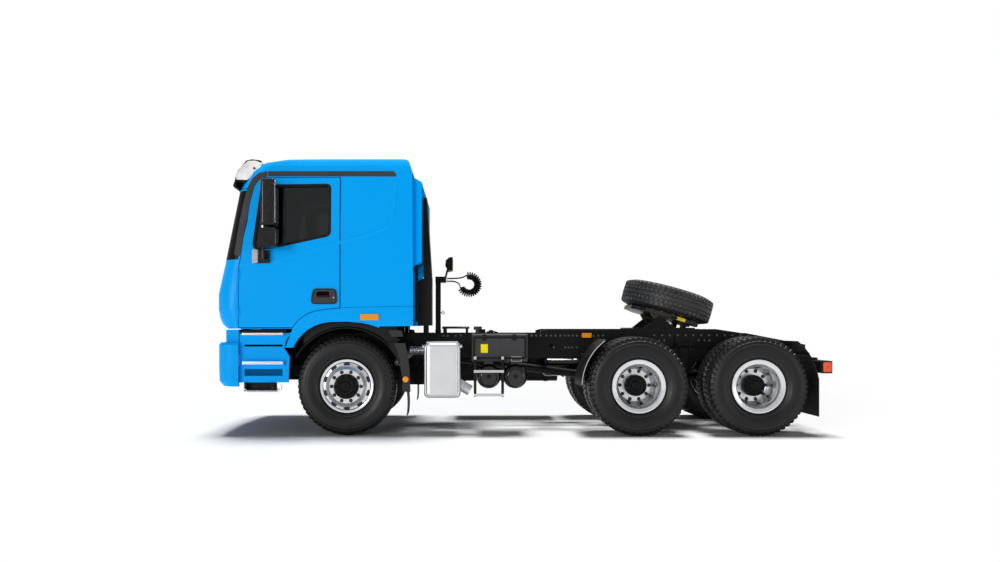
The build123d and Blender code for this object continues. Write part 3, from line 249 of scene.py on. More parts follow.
tank_gloss = finish("tank_gloss", srgb(9, 9, 10), 0.14, coat=0.6, cloud=0.2, cloud_size=0.3, dust=0.06,
                    specular=0.2)
rubber = finish("rubber", srgb(19, 19, 19), 0.6, cloud=0.2, cloud_size=0.05, grain=0.3, grain_size=0.003,
                specular=0.15)
tyre_rubber = finish("tyre_rubber", srgb(13, 13, 14), 0.4, cloud=0.16, cloud_size=0.12, grain=0.15,
                     grain_size=0.003, dust=0.03, dust_top=0.9, specular=0.3)
# paler rubber: the spare's dusty tread, and a painted highlight on the sidewall rings
tyre_dust_and_ring_highlight = finish("tyre_dust_and_ring_highlight", srgb(40, 40, 40), 0.45, cloud=0.25, cloud_size=0.08, grain=0.3,
                   grain_size=0.003, dust=0.05, dust_top=3.0, specular=0.4)
rim_silver = finish("rim_silver", srgb(222, 223, 225), 0.2, metal=0.7, coat=0.2, cloud=0.05, cloud_size=0.1,
                    grain=0.01, grain_size=0.02, dust=0.03, dust_top=0.9)
# painted shade: dark grey for the groove by a front rim's lip and the shade seen through its openings
rim_painted_shade = finish("rim_painted_shade", srgb(40, 40, 42), 0.5, cloud=0.2, cloud_size=0.05, specular=0.2)
bright = finish("bright_metal", srgb(205, 206, 208), 0.24, metal=1.0, cloud=0.05, grain=0.08,
                grain_size=0.003, stretch=(1, 12, 12))
aluminium = finish("aluminium", srgb(214, 215, 217), 0.36, metal=0.6, cloud=0.04, cloud_size=0.3,
                   streak=0.15, grain_size=0.004, stretch=(1, 1, 14), dust=0.05)
nut_steel = finish("nut_steel", srgb(58, 58, 60), 0.35, metal=0.6, cloud=0.2, cloud_size=0.02, grain=0.2,
                   specular=0.3)
bolt_steel = finish("bolt_steel", srgb(92, 92, 94), 0.4, metal=0.6, cloud=0.3, cloud_size=0.05, grain=0.2)
grease = finish("plate_steel", srgb(52, 50, 48), 0.35, metal=0.5, cloud=0.4, cloud_size=0.08, grain=0.25,
                streak=0.2, grain_size=0.006, stretch=(1, 10, 1), specular=0.3)
glass = glassy("cab_glass", (0.085, 0.095, 0.095))
lens = glassy("clear_lens", (0.92, 0.94, 0.95), 0.03)
pale_lens = finish("pale_lens", srgb(176, 178, 180), 0.2, coat=0.5, cloud=0.08, cloud_size=0.03, grain=0.3,
                   grain_size=0.006)
amber = finish("amber_lens", srgb(248, 152, 8), 0.2, coat=0.4, cloud=0.1, cloud_size=0.02, grain=0.5,
               grain_size=0.006, specular=0.3)
red = finish("red_lens", srgb(224, 52, 12), 0.2, coat=0.4, cloud=0.1, cloud_size=0.02, grain=0.5,
             grain_size=0.006, specular=0.3)
chrome = finish("reflector", srgb(235, 235, 238), 0.06, metal=1.0, cloud=0.03)
mirror_glass = finish("mirror_glass", srgb(215, 218, 220), 0.02, metal=1.0, cloud=0.02, specular=0.2)
yellow = finish("yellow_label", srgb(246, 226, 10), 0.5, cloud=0.05, cloud_size=0.05, specular=0.2)
white_plate = finish("blank_plate", srgb(226, 226, 222), 0.35, coat=0.3, cloud=0.03, cloud_size=0.1)
# near black for the side seam, and painted shade in holes, gaps, recesses and behind openings
dark = finish("black_joints_and_painted_shade", srgb(8, 8, 9), 0.85, cloud=0.2, cloud_size=0.05, specular=0.05)
lining = finish("cab_lining", srgb(24, 24, 25), 0.8, cloud=0.15, cloud_size=0.1, grain=0.3,
                grain_size=0.002, specular=0.1)
trim_cloth = finish("seat_cloth", srgb(74, 74, 77), 0.85, cloud=0.12, cloud_size=0.03, grain=0.7,
                    grain_size=0.0016)
seat_edge = finish("seat_bolster", srgb(40, 40, 43), 0.8, cloud=0.12, cloud_size=0.03, grain=0.6,
                   grain_size=0.0012)
dash_plastic = finish("dash_plastic", srgb(44, 43, 43), 0.6, cloud=0.08, cloud_size=0.1, grain=0.4,
                      grain_size=0.0015, specular=0.2)


# ---- tools for building pieces
def evenly(first, last, steps):
    """Places from first to last, both with them, in equal steps."""
    return [first + (last - first) * k / steps for k in range(steps + 1)]


def around(count):
    """Equal angles round a full turn."""
    return [2 * math.pi * k / count for k in range(count)]


class Form:
    """Collects the faces of a piece, in millimetres; done() makes the piece and starts the next one."""

    def __init__(self, local=None):
        self.bm = bmesh.new()
        self.local = local

    def point(self, x, y, z):
        """A corner at that place, in the form's own frame where it has one."""
        if self.local is not None:
            return self.bm.verts.new(self.local @ (Vector((x, y, z)) / 1000))
        return self.bm.verts.new(at(x, y, z))

    def rings(self, rings, closed=True, caps=True):
        """Joins rings of points, each the same count, into a skin."""
        made = [[self.point(*p) for p in ring] for ring in rings]
        count = len(made[0])
        for a, b in zip(made, made[1:]):
            for i in range(count if closed else count - 1):
                j = (i + 1) % count
                self.bm.faces.new((a[i], a[j], b[j], b[i]))
        if caps and closed:
            self.bm.faces.new(list(reversed(made[0])))
            self.bm.faces.new(made[-1])

    def sheet(self, rows):
        """Joins rows of points into an open skin."""
        self.rings(rows, closed=False, caps=False)

    def box(self, x1, x2, y1, y2, z1, z2):
        """A block between those places."""
        self.rings([[(x1, y1, z), (x2, y1, z), (x2, y2, z), (x1, y2, z)] for z in (z1, z2)])

    def prism(self, outline, y1, y2):
        """A polygon of (x, z) from y1 to y2."""
        self.rings([[(x, y, z) for x, z in outline] for y in (y1, y2)])

    def plate(self, outline, x1, x2, side=1):
        """A polygon of (y, z) from x1 to x2, mirrored where side is -1."""
        self.rings([[(x, side * y, z) for y, z in outline] for x in (x1, x2)])

    def lathe(self, profile, centre, axis="y", count=48, closed=False):
        """(along, radius) points turned about an axis through centre."""
        cx, cy, cz = centre
        rings = []
        for a in around(count):
            ring = []
            for along, radius in profile:
                u, v = radius * math.cos(a), radius * math.sin(a)
                ring.append({"x": (cx + along, cy + u, cz + v), "y": (cx + u, cy + along, cz + v),
                             "z": (cx + u, cy + v, cz + along)}[axis])
            rings.append(ring)
        rings.append(rings[0])
        self.rings(rings, closed=closed, caps=False)

    def tube(self, points, radius, count=12, caps=True):
        """A round tube along points, mitred at its bends."""
        line = [Vector(p) for p in points]
        rings = []
        side = None
        for i, p in enumerate(line):
            ahead = (line[min(i + 1, len(line) - 1)] - p).normalized() if i < len(line) - 1 else None
            behind = (p - line[i - 1]).normalized() if i else None
            way = ((ahead or behind) + (behind or ahead)).normalized()
            if side is None:
                side = way.orthogonal().normalized()
            side = (side - way * side.dot(way)).normalized()
            other = way.cross(side)
            grow = 1 / max(0.5, way.dot(ahead or behind))
            size = radius[i] if isinstance(radius, (list, tuple)) else radius
            rings.append([tuple(p + (side * math.cos(a) + other * math.sin(a)) * size * (grow if i else 1))
                          for a in around(count)])
        self.rings(rings, caps=caps)

    def nut(self, centre, away, across=32, height=20, stud=9, reach=32):
        """A six-sided nut on its stud, standing along y; away is -1 or 1."""
        x, y, z = centre
        corner = across / 2 / math.cos(math.pi / 6)
        for radius, count, y1, y2 in ((corner, 6, 0, height), (across * 0.66, 20, 0, 4),
                                      (stud, 12, height - 1, reach)):
            self.rings([[(x + r * math.cos(a), y + away * t, z + r * math.sin(a)) for a in around(count)]
                        for t, r in ((y1, radius), (y2 - 2, radius), (y2, radius * 0.86))])

    def done(self, name, material, body, slot=None, smooth=32, bevel=0.0, subdivide=0):
        """Makes the piece from the faces so far, lets it ride on the body and empties the form."""
        bmesh.ops.remove_doubles(self.bm, verts=self.bm.verts, dist=1e-6)
        bmesh.ops.recalc_face_normals(self.bm, faces=self.bm.faces)
        mesh = bpy.data.meshes.new(name)
        self.bm.to_mesh(mesh)
        self.bm.free()
        self.bm = bmesh.new()
        mesh.polygons.foreach_set("use_smooth", [True] * len(mesh.polygons))
        mesh.set_sharp_from_angle(angle=math.radians(smooth))
        mesh.materials.append(material)
        piece = bpy.data.objects.new(name, mesh)
        bpy.context.scene.collection.objects.link(piece)
        if bevel:
            rounding = piece.modifiers.new("rounded_edges", "BEVEL")
            rounding.width = bevel / 1000
            rounding.segments = 2
            rounding.limit_method = "ANGLE"
            rounding.angle_limit = math.radians(35)
            rounding.harden_normals = True
        if subdivide:
            smoothing = piece.modifiers.new("smooth", "SUBSURF")
            smoothing.levels = smoothing.render_levels = subdivide
        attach(piece, body)
        return piece


form = Form()


def resample(points, step, closed=False):
    """Points along the line no further apart than step."""
    line = list(points) + ([points[0]] if closed else [])
    out = []
    for a, b in zip(line, line[1:]):
        n = max(1, math.ceil(math.dist(a, b) / step))
        out += [tuple(p + (q - p) * k / n for p, q in zip(a, b)) for k in range(n)]
    return out if closed else out + [line[-1]]


def wheel_arc(x, radius, degrees):
    """Points (x, z) at those angles about an axle."""
    angles = [math.radians(a) for a in degrees]
    return [(x + radius * math.cos(a), AXLE_Z + radius * math.sin(a)) for a in angles]


def band(along, half, inner, outer):
    """A flat band's section, for lathe."""
    return [(along - half, inner), (along - half, outer), (along + half, outer), (along + half, inner)]


def corners(a1, a2, b1, b2):
    """A rectangle's corners in order."""
    return [(a1, b1), (a2, b1), (a2, b2), (a1, b2)]


def outward(profile, side):
    """A lathe's (along, radius) points, with along counted outwards on that side."""
    return [(side * along, radius) for along, radius in profile]


def rounded(points, radius, count=6):
    """A closed outline with its corners rounded."""
    out = []
    for i, p in enumerate(points):
        p = Vector(p)
        a = Vector(points[i - 1]) - p
        b = Vector(points[(i + 1) % len(points)]) - p
        reach = min(radius, a.length / 2, b.length / 2)
        start, end = p + a.normalized() * reach, p + b.normalized() * reach
        for k in range(count + 1):
            t = k / count
            out.append(tuple(start * (1 - t) ** 2 + p * 2 * t * (1 - t) + end * t ** 2))
    return out


def sideways(points, closed):
    """The direction square to the line at each of its points, to its left."""
    out = []
    n = len(points)
    for i in range(n):
        a = points[(i - 1) % n] if closed or i else points[i]
        b = points[(i + 1) % n] if closed or i < n - 1 else points[i]
        way = Vector((b[0] - a[0], b[1] - a[1])).normalized()
        out.append((-way.y, way.x))
    return out


SECTIONS = [
    # z, face, half width, corner radius, crown of the face
    (900, -1375, 1235, 235, 45), (1215, -1375, 1235, 235, 45), (1260, -1430, 1243, 240, 45),
    (1330, -1462, 1245, 240, 45), (1430, -1481, 1245, 240, 45), (1610, -1481, 1245, 240, 45),
    (1945, -1400, 1245, 215, 45), (1990, -1388, 1243, 200, 50), (2780, -1225, 1208, 150, 60),
    (2994, -1120, 1196, 190, 60), (3060, -1070, 1186, 230, 55), (3105, -985, 1164, 240, 50),
    (3138, -830, 1118, 240, 40), (3157, -480, 1036, 220, 30),
]


def between(rows, z):
    """The values that the rows give after their own heights, worked out for height z."""
    for low, high in zip(rows, rows[1:]):
        if z <= high[0] or high is rows[-1]:
            t = (z - low[0]) / (high[0] - low[0])
            return [a + (b - a) * t for a, b in zip(low[1:], high[1:])]


def section(z):
    """The cab's face, half width, corner radius and crown of the face at height z."""
    return between(SECTIONS, z)


def skin(x, z, side, lift=0.0):
    """The point of the cab's side, or of its rounded front corner, at x and z, raised by lift."""
    face, half, corner, _ = section(z)
    nx, ny, y = 0.0, 1.0, half
    if x < face + corner:
        nx = -min(1.0, (face + corner - x) / corner)
        ny = math.sqrt(max(0.0, 1 - nx * nx))
        y = half - corner + corner * ny
    return (x + nx * lift, side * (y + ny * lift), z)


def front(y, z, lift=0.0):
    """The point of the cab's face at y and z, raised by lift."""
    face, half, corner, crown = section(z)
    t = min(1.0, abs(y) / (half - corner))
    return (face - crown * (1 - t * t) - lift, y, z)


def strip(form, points, profile, side, closed=False, step=20):
    """A moulding along points (x, z) of the cab's side, its section a list of (across, height)."""
    line = resample(points, step, closed)
    if closed:
        line = line[:-1] if math.dist(line[0], line[-1]) < 1e-6 else line
    rings = []
    for (x, z), (nx, nz) in zip(line, sideways(line, closed)):
        rings.append([skin(x + nx * a, z + nz * a, side, h) for a, h in profile])
    if closed:
        rings.append(rings[0])
    form.sheet(rings)


def patch(form, outline, side, height=2.0, step=30, sunk=1.5):
    """A thin cover of the outline (x, z) lying on the cab's side."""
    bm = bmesh.new()
    bm.faces.new([bm.verts.new((x, 0, z)) for x, z in outline])
    low = [min(p[i] for p in outline) for i in (0, 1)]
    high = [max(p[i] for p in outline) for i in (0, 1)]

    def cuts(axis):
        return [step * k for k in range(int(low[axis] // step), int(high[axis] // step) + 1)]

    for normal, places in (((1, 0, 0), cuts(0)), ((0, 0, 1), [row[0] for row in SECTIONS] + cuts(1))):
        for p in places:
            bmesh.ops.bisect_plane(bm, geom=bm.verts[:] + bm.edges[:] + bm.faces[:],
                                   plane_co=Vector(normal) * p, plane_no=normal, dist=0.01)
    bm.verts.index_update()
    top = {v.index: form.point(*skin(v.co.x, v.co.z, side, height)) for v in bm.verts}
    for f in bm.faces:
        form.bm.faces.new([top[v.index] for v in f.verts])
    under = {}
    for e in bm.edges:
        if len(e.link_faces) == 1:
            for v in e.verts:
                if v.index not in under:
                    under[v.index] = form.point(*skin(v.co.x, v.co.z, side, -sunk))
            a, b = e.verts
            form.bm.faces.new([top[a.index], top[b.index], under[b.index], under[a.index]])
    bm.free()


VANISHING_PX, VANISHING_PY = 465, 326
SCALE_DISTANCE = 10000  # from the camera, where the places and scales of the next two lines hold
AXLE_PX, GROUND_PY = 346.1, 436.6
MM_ACROSS, MM_UP = 11.28, 11.25


def seen(px, py, y=-HALF_WIDTH):
    """(x, z) of what the camera shows at a place of its 1000 by 562 frame, if it lies at y."""
    deeper = (y - CAMERA_PLACE[1]) / SCALE_DISTANCE
    return ((VANISHING_PX + (px - VANISHING_PX) * deeper - AXLE_PX) * MM_ACROSS,
            (GROUND_PY - VANISHING_PY - (py - VANISHING_PY) * deeper) * MM_UP)


def several(points, y=-HALF_WIDTH):
    """(x, z) of each of those places of the camera's frame."""
    return [seen(px, py, y) for px, py in points]


# lines of the near side, as places in the camera's 1000 by 562 frame
GUTTER_PILLAR = [(266.3, 170), (258, 171.5), (251, 177), (246.6, 186), (243, 200), (239.6, 216), (236.2, 236),
                 (233.6, 254), (239.6, 256), (241.6, 249), (244.2, 230), (249.7, 201), (253.9, 185),
                 (258.8, 178.2), (266.3, 175.2)]
GUTTER_RAIL = [(267.2, 170), (267.2, 175.2), (396, 175.4), (396, 173), (393, 170)]
SIDE_SEAM = [(341.5, 307.5), (380, 306.6), (415, 306.2)]
SIDE_CREASE = [(341.6, 241), (372, 232), (386, 226.5), (391.5, 219), (394, 205), (396.5, 178)]
ARCH_LIP = [(286.5, 338), (291, 333.5), (299, 328), (312, 324), (330, 321.6), (348, 321.4), (362, 322.6),
            (372, 325), (379, 327.5)]
DOOR_CREASE = [(241.6, 268.8), (290, 255.5), (340.2, 241.3)]
HANDLE_PLATE = [(313.5, 289.2), (335.5, 289.2), (336.6, 303.2), (311.6, 303.2)]
HANDLE_FACE = [(314.5, 290.4), (334.8, 290.4), (335.6, 302.2), (312.9, 302.2)]
HANDLE_RECESS = [(317, 291.2), (329.3, 291.2), (329.3, 295.6), (316.2, 295.6)]
HANDLE_GRIP = [(316.4, 296.2), (329.6, 296.2)]
DOOR_LOCK = (333.6, 297.4)
REAR_PIPES = ((416.4, -1108), (416.8, -1040))  # px, y
VISOR_END = [(262.5, 162.5), (258.5, 171.5), (250.5, 176.5), (247, 179.5), (236.5, 179), (236, 175),
             (241, 166), (248, 160.4), (255, 160)]
VISOR_BOLT = (254.3, 167.8)
LOW_STEP_HOOP = [(243.8, 384.5), (243.8, 388.5), (247.2, 391.3), (276.8, 391.3), (281.2, 388), (281.4, 384)]
GUARD_EDGES = ([(388.3, 330.3), (401.5, 330.3), (403.3, 336.6), (391.6, 336.6)],
               [(393.9, 343.2), (404.6, 343.2), (407.5, 353), (409.6, 370), (410.6, 392), (402.4, 392),
                (402.2, 380), (399.6, 360), (396.6, 349)])
GUARD_LAMP = (405.6, 379.4)
FRAME_MARKER = (587, 335.4)
FRAME_HOLE = (551, 345.5)
BATTERY_LABEL = [(480.8, 352.8), (487.8, 344.2)]
BATTERY_TAG = [(511.5, 361), (521.3, 357)]
LAMP_SOCKET = (449.8, 270)
STAND_RING = (442.3, 312.6)


# ---- wheels
PITCHES = 54
STEPS = 6


def arc_through(a, b, c, count):
    """Points from a to c on the circle through a, b and c."""
    (ax, ay), (bx, by), (cx, cy) = a, b, c
    a2, b2, c2 = ax * ax + ay * ay, bx * bx + by * by, cx * cx + cy * cy
    d = 2 * (ax * (by - cy) + bx * (cy - ay) + cx * (ay - by))
    ux = (a2 * (by - cy) + b2 * (cy - ay) + c2 * (ay - by)) / d
    uy = (a2 * (cx - bx) + b2 * (ax - cx) + c2 * (bx - ax)) / d
    r = math.dist((ux, uy), a)
    start, end = math.atan2(ay - uy, ax - ux), math.atan2(cy - uy, cx - ux)
    middle = math.atan2(by - uy, bx - ux)
    if not min(start, end) <= middle <= max(start, end):
        end += 2 * math.pi * (1 if end < start else -1)
    return [(ux + r * math.cos(t), uy + r * math.sin(t)) for t in evenly(start, end, count)]


BEAD = (100, 300)
WALL_ARC = ((107.7, 308), (156.5, 430), (133, 538))
WALL_STEPS = 16
WALL_WIDEST = 156.4
WALL_RELIEF = {1: 3, 2: 4, 3: -1, 5: 2, 6: -2, 7: 1, 10: 1, 11: -2.4, 12: 2.6, 13: -2.6}
SHOULDER_EDGE = (128, 549)
TREAD_RADIUS = 562.4
TREAD_HALF = 120
TREAD_DROP = 6
RIBS = {120: "shoulder", 108: "shoulder", 94: "shoulder", 80: "shoulder", 77: "ditch", 69: "ditch",
        66: "second", 50: "second", 36: "second", 33: "ditch", 25: "ditch", 22: "centre", 8: "centre"}
WAVE = 3.5
DITCH_DEPTH, SHOULDER_CUT, NOTCH_CUT, NOTCH_WIDTH = 11, 12, 8, 9
SECOND_CUT, CENTRE_CUT = 8, 7


def tyre_profile():
    """Half of a tyre's section from the bead outwards, as (across, radius, kind)."""
    out = [(*BEAD, "wall")]
    for i, (t, r) in enumerate(arc_through(*WALL_ARC, WALL_STEPS)):
        raised = WALL_RELIEF.get(i, 0)
        lean = 1 if i < WALL_STEPS / 2 else -1
        kind = "notch" if i >= WALL_STEPS - 1 else "wall"
        out.append((min(WALL_WIDEST, t + raised * 0.9), r - lean * raised * 0.2, kind))
    out.append((*SHOULDER_EDGE, "notch"))
    return out + [(t, TREAD_RADIUS - TREAD_DROP * (t / TREAD_HALF) ** 2, kind) for t, kind in RIBS.items()]


def tyre(form, centre, turn):
    """A tyre with its road tread, its axle along the local y of turn."""
    half = tyre_profile()
    columns = half + [(-t, r, kind) for t, r, kind in reversed(half)]
    count = PITCHES * STEPS
    rings = []
    for k, a in enumerate(around(count)):
        phase = k % STEPS
        wave = WAVE if (k // 3) % 2 else -WAVE
        ring = []
        for t, r, kind in columns:
            cut = phase in ((0, 1) if t > 0 else (3, 4))
            across = t
            if kind == "shoulder" and cut:
                r -= SHOULDER_CUT
            elif kind == "notch" and cut:
                r -= NOTCH_CUT
                across -= math.copysign(NOTCH_WIDTH, t)
            elif kind == "ditch":
                r -= DITCH_DEPTH
                across += wave
            elif kind == "second":
                across += wave * 0.8
                r -= SECOND_CUT if phase == (2 if t > 0 else 5) else 0
            elif kind == "centre":
                across += wave * 0.5
                r -= CENTRE_CUT if phase == (5 if t > 0 else 2) else 0
            p = turn @ Vector((r * math.cos(a), across, r * math.sin(a)))
            ring.append((centre[0] + p.x, centre[1] + p.y, centre[2] + p.z))
        rings.append(ring)
    rings.append(rings[0])
    form.sheet(rings)


UPRIGHT = Matrix.Identity(3)


def bolt_circle(count, radius):
    """Places (x, z) of that many bolts about an axle."""
    return [(radius * math.cos(a), radius * math.sin(a)) for a in around(count)]


STUD_CIRCLE = 167.5
REAR_NUTS_OUT = 12
FRONT_HUB_CIRCLE, FRONT_HUB_NUTS_OUT = 112, 59
REAR_HUB_CIRCLE, REAR_HUB_NUTS_Y = 102, 1077
HUB_FRONT = ((0.5, 143), (3, 143), (40, 139), (58, 131), (60, 126), (60, 98), (66, 93), (67, 72), (64, 62),
             (74, 58), (78, 50), (78, 0.01))
HUB_REAR = ((960, 124), (1040, 122), (1074, 117), (1078, 112), (1078, 92), (1082, 88), (1083, 66), (1080, 58),
            (1092, 54), (1095, 46), (1095, 0.01))
RIM_FACE = ((0.6, 143), (0.6, 190.5), (-19, 210.5), (-44, 233), (-51.5, 245), (-53, 266))
RIM_GROOVE_SHADE = ((-52.9, 265.8), (-52.3, 270), (-52.9, 274.5))
RIM_OPENINGS = 10
OPENING_ROWS = ((-45.6, 237, 21), (-48.0, 243, 33), (-50.2, 252, 38), (-51.2, 261, 33), (-51.6, 266, 21))
DUST_SHIELD = ((119.9, 289), (113.6, 254), (111, 250), (109.5, 125))
WALL_RINGS = (344, 476, 508)


def wall_rings(name, place, y, side, body):
    """Fine raised rings round a tyre's outer sidewall, in a paler rubber that paints their highlight."""
    profile = [(r, t) for t, r, kind in tyre_profile() if r < 540]
    for r in WALL_RINGS:
        near = [(a, b) for a, b in zip(profile, profile[1:]) if a[0] <= r <= b[0]][0]
        (r1, t1), (r2, t2) = near
        t = t1 + (t2 - t1) * (r - r1) / (r2 - r1)
        form.lathe([(side * (t - 1), r - 4), (side * (t + 1.6), r - 1.5), (side * (t + 1.6), r + 1.5),
                    (side * (t - 1), r + 4)], (place, y, AXLE_Z), count=96)
    form.done(f"wall_rings_{name}", tyre_dust_and_ring_highlight, body, "tyre")


def flush_disc(name, place, face, side, body):
    """A front rim's pressed face: dished ring, with painted shade as dark sheets in its ten openings and a
    dark band for the groove that parts it from the lip.
    """
    form.lathe(outward(RIM_FACE, side), (place, face, AXLE_Z), count=96)
    form.done(f"rim_face_{name}", rim_silver, body, "rim_silver")
    form.lathe(outward(RIM_GROOVE_SHADE, side), (place, face, AXLE_Z), count=96)
    for k in range(RIM_OPENINGS):
        middle = math.pi / 5 * (k + 0.5)
        rows = []
        for t, r, wide in OPENING_ROWS:
            angles = [middle + u * wide / 250 for u in evenly(-1, 1, 4)]
            rows.append([(place + r * math.cos(a), face + side * t, AXLE_Z + r * math.sin(a))
                         for a in angles])
        form.sheet(rows)
    form.done(f"rim_painted_opening_shade_{name}", rim_painted_shade, body, "rim_silver")


for name, side in SIDES.items():
    body = f"{name}_front_wheel"
    tyre(form, (0, side * FRONT_WHEEL_Y, AXLE_Z), UPRIGHT)
    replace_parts(form.done(f"tyre_{name}_front", tyre_rubber, body, "tyre", smooth=40), f"front_tyre_{name}")
    face = side * (FRONT_WHEEL_Y + RIM_OFFSET)
    for dx, dz in bolt_circle(10, STUD_CIRCLE):
        form.nut((dx, face, AXLE_Z + dz), side)
    form.done(f"wheel_nuts_{name}_front", nut_steel, body, "cast", smooth=25)
    form.lathe(outward(HUB_FRONT, side), (0, face, AXLE_Z))
    for dx, dz in bolt_circle(10, FRONT_HUB_CIRCLE):
        form.nut((dx, face + side * FRONT_HUB_NUTS_OUT, AXLE_Z + dz), side, across=22, height=10, stud=5,
                 reach=14)
    form.done(f"hub_{name}_front", hub_black, body, "cast", smooth=25)
    flush_disc(f"{name}_front", 0, face, side, body)
    wall_rings(f"{name}_front", 0, side * FRONT_WHEEL_Y, side, body)
    for axle, place in (("mid", MID_AXLE), ("rear", REAR_AXLE)):
        body = f"{name}_{axle}_wheels"
        for y in (REAR_WHEEL_Y + RIM_OFFSET, REAR_WHEEL_Y - RIM_OFFSET):
            tyre(form, (place, side * y, AXLE_Z), UPRIGHT)
        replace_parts(form.done(f"tyres_{name}_{axle}", tyre_rubber, body, "tyre", smooth=40),
                    f"{axle}_tyres_{name}")
        for dx, dz in bolt_circle(10, STUD_CIRCLE):
            form.nut((place + dx, side * (REAR_WHEEL_Y + REAR_NUTS_OUT), AXLE_Z + dz), side)
        form.done(f"wheel_nuts_{name}_{axle}", nut_steel, body, "cast", smooth=25)
        form.lathe(outward(HUB_REAR, side), (place, 0, AXLE_Z))
        for dx, dz in bolt_circle(12, REAR_HUB_CIRCLE):
            form.nut((place + dx, side * REAR_HUB_NUTS_Y, AXLE_Z + dz), side, across=20, height=10, stud=5,
                     reach=14)
        form.done(f"hub_{name}_{axle}", hub_black, body, "cast", smooth=25)
        wall_rings(f"{name}_{axle}", place, side * (REAR_WHEEL_Y + RIM_OFFSET), side, body)
        inside = REAR_WHEEL_Y - RIM_OFFSET
        form.lathe([(side * (inside - t), r) for t, r in DUST_SHIELD], (place, 0, AXLE_Z), count=72)
        form.done(f"dust_shield_{name}_{axle}", cast_black, body, "cast")

# spare wheel, lying on the coupler
TILT = math.radians(16)
ALONG = Vector((math.cos(TILT), 0, -math.sin(TILT)))
NORMAL = Vector((math.sin(TILT), 0, math.cos(TILT)))
COUPLER = Vector((3712, 0, 1316))
SPARE_ALONG, SPARE_UP = 108, 272.8
SPARE_CENTRE = COUPLER + ALONG * SPARE_ALONG + NORMAL * SPARE_UP
laid = Matrix((ALONG, NORMAL, Vector((0, -1, 0)))).transposed()
tyre(form, SPARE_CENTRE, laid)
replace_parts(form.done("tyre_spare", tyre_dust_and_ring_highlight, "coupler", "tyre", smooth=40), "spare_tyre")


# ---- cab outside
WINDOW = [(-182, 2270), (-813, 2133), (-994, 2110), (-1036, 2150), (-945, 2823), (-182, 2836)]
window_line = rounded(WINDOW, 46)
MARKER_LAMP = (168, 372, 1312, 1378)
MARKER_PROUD = 16.3
for name, side in SIDES.items():
    door = f"{name}_door"
    # gutter and pillar trim
    patch(form, several(GUTTER_PILLAR), side, 3.0, 30)
    patch(form, several(GUTTER_RAIL), side, 5.0, 40)
    form.done(f"gutter_trim_{name}", grey_trim, "cab", "grey_plastic")
    # dark edge of the windscreen round the corner
    rows = []
    for z in evenly(1992, 2800, 24):
        face, half, corner, _ = section(z)
        pillar_x = -1206 + (z - 2000) * 0.235
        first = math.asin(max(-1, min(1, (face + corner - pillar_x) / corner)))
        row = []
        for k in range(13):
            a = first + (math.pi / 2 - first) * k / 12
            row.append((face + corner - corner * math.sin(a) - 1.2 * math.sin(a),
                        side * (half - corner + (corner + 1.2) * math.cos(a)), z))
        rows.append(row)
    form.sheet(rows)
    form.done(f"screen_edge_{name}", screen_black, "cab", "glass")
    # seams and press lines of the cab's side
    strip(form, several(SIDE_SEAM), [(-1.6, 0.5), (1.6, 0.5)], side)
    form.done(f"seam_{name}", dark, "cab")
    strip(form, several(SIDE_CREASE), [(-30, -0.5), (-12, 3.0), (0, 5.5), (5, 5.0), (14, -0.5)], side,
          step=12)
    form.done(f"side_crease_{name}", paint, "cab", "blue_paint")
    strip(form, several(ARCH_LIP), [(-2, -1), (2, 1.6), (8, 1.6), (12, -1)], side, step=15)
    form.done(f"arch_lip_{name}", paint, "cab", "blue_paint")
    # ribs of the marker lamp
    x1, x2, z1, z2 = MARKER_LAMP
    y = HALF_WIDTH + MARKER_PROUD
    for x in evenly(x1 + 8, x2 - 8, 6):
        form.box(x - 2, x + 2, side * y, side * (y + 1.2), z1 + 6, z2 - 6)
    form.done(f"marker_ribs_{name}", amber, "cab", "amber")
    # door: crease, window seal, handle and lock
    strip(form, several(DOOR_CREASE), [(-24, -0.5), (-10, 1.6), (0, 2.6), (5, 2.2), (14, -0.5)], side,
          step=15)
    form.done(f"door_crease_{name}", paint, door, "blue_paint")
    strip(form, window_line, [(-17, -3), (-15, 2.5), (-4, 3.5), (3, 1), (5, -20)], side, closed=True, step=15)
    strip(form, window_line, [(17, -3), (15, 2.5), (4, 3.5), (-3, 1), (-5, -20)], side, closed=True, step=15)
    form.done(f"window_seal_{name}", rubber, door, "hose")
    plate = rounded(several(HANDLE_PLATE), 40)
    pull = rounded(several(HANDLE_RECESS), 20)
    strip(form, plate, [(-1, -2), (2, 5), (8, 9), (11, 9)], side, closed=True, step=30)
    strip(form, plate, [(1, -2), (-2, 5), (-8, 9), (-11, 9)], side, closed=True, step=30)
    patch(form, rounded(several(HANDLE_FACE), 34), side, 7.0, 30)
    form.done(f"handle_plate_{name}", grey_trim, door, "grey_plastic", bevel=1.0)
    # painted shade: a black patch sunk into the handle's recess
    patch(form, pull, side, 7.6, 30, sunk=-7)
    form.done(f"handle_recess_{name}", dark, door)
    strip(form, several(HANDLE_GRIP), [(-11, 7), (-11, 16), (-6, 21), (6, 21), (11, 16), (11, 7)], side,
          step=40)
    form.done(f"handle_grip_{name}", black_plastic, door, "black_plastic", bevel=1.5)
    kx, kz = seen(*DOOR_LOCK)
    form.lathe(outward(((1251, 9), (1257, 9), (1258, 7.5), (1258, 3), (1256, 2), (1256, 0.01)), side),
               (kx, 0, kz), count=24)
    form.done(f"door_lock_{name}", bright, door, "aluminium")

# pipes down the cab's rear edge, and a black box that shuts the bumper's opening from behind and paints the
# shade inside it
for px, y in REAR_PIPES:
    line = several([(px - 0.6, 262), (px, 266), (px, 290), (px + 0.3, 322)], y)
    form.tube([(x, y, z) for x, z in line], 17, 14)
form.done("rear_pipes", black_plastic, "cab", "hose")

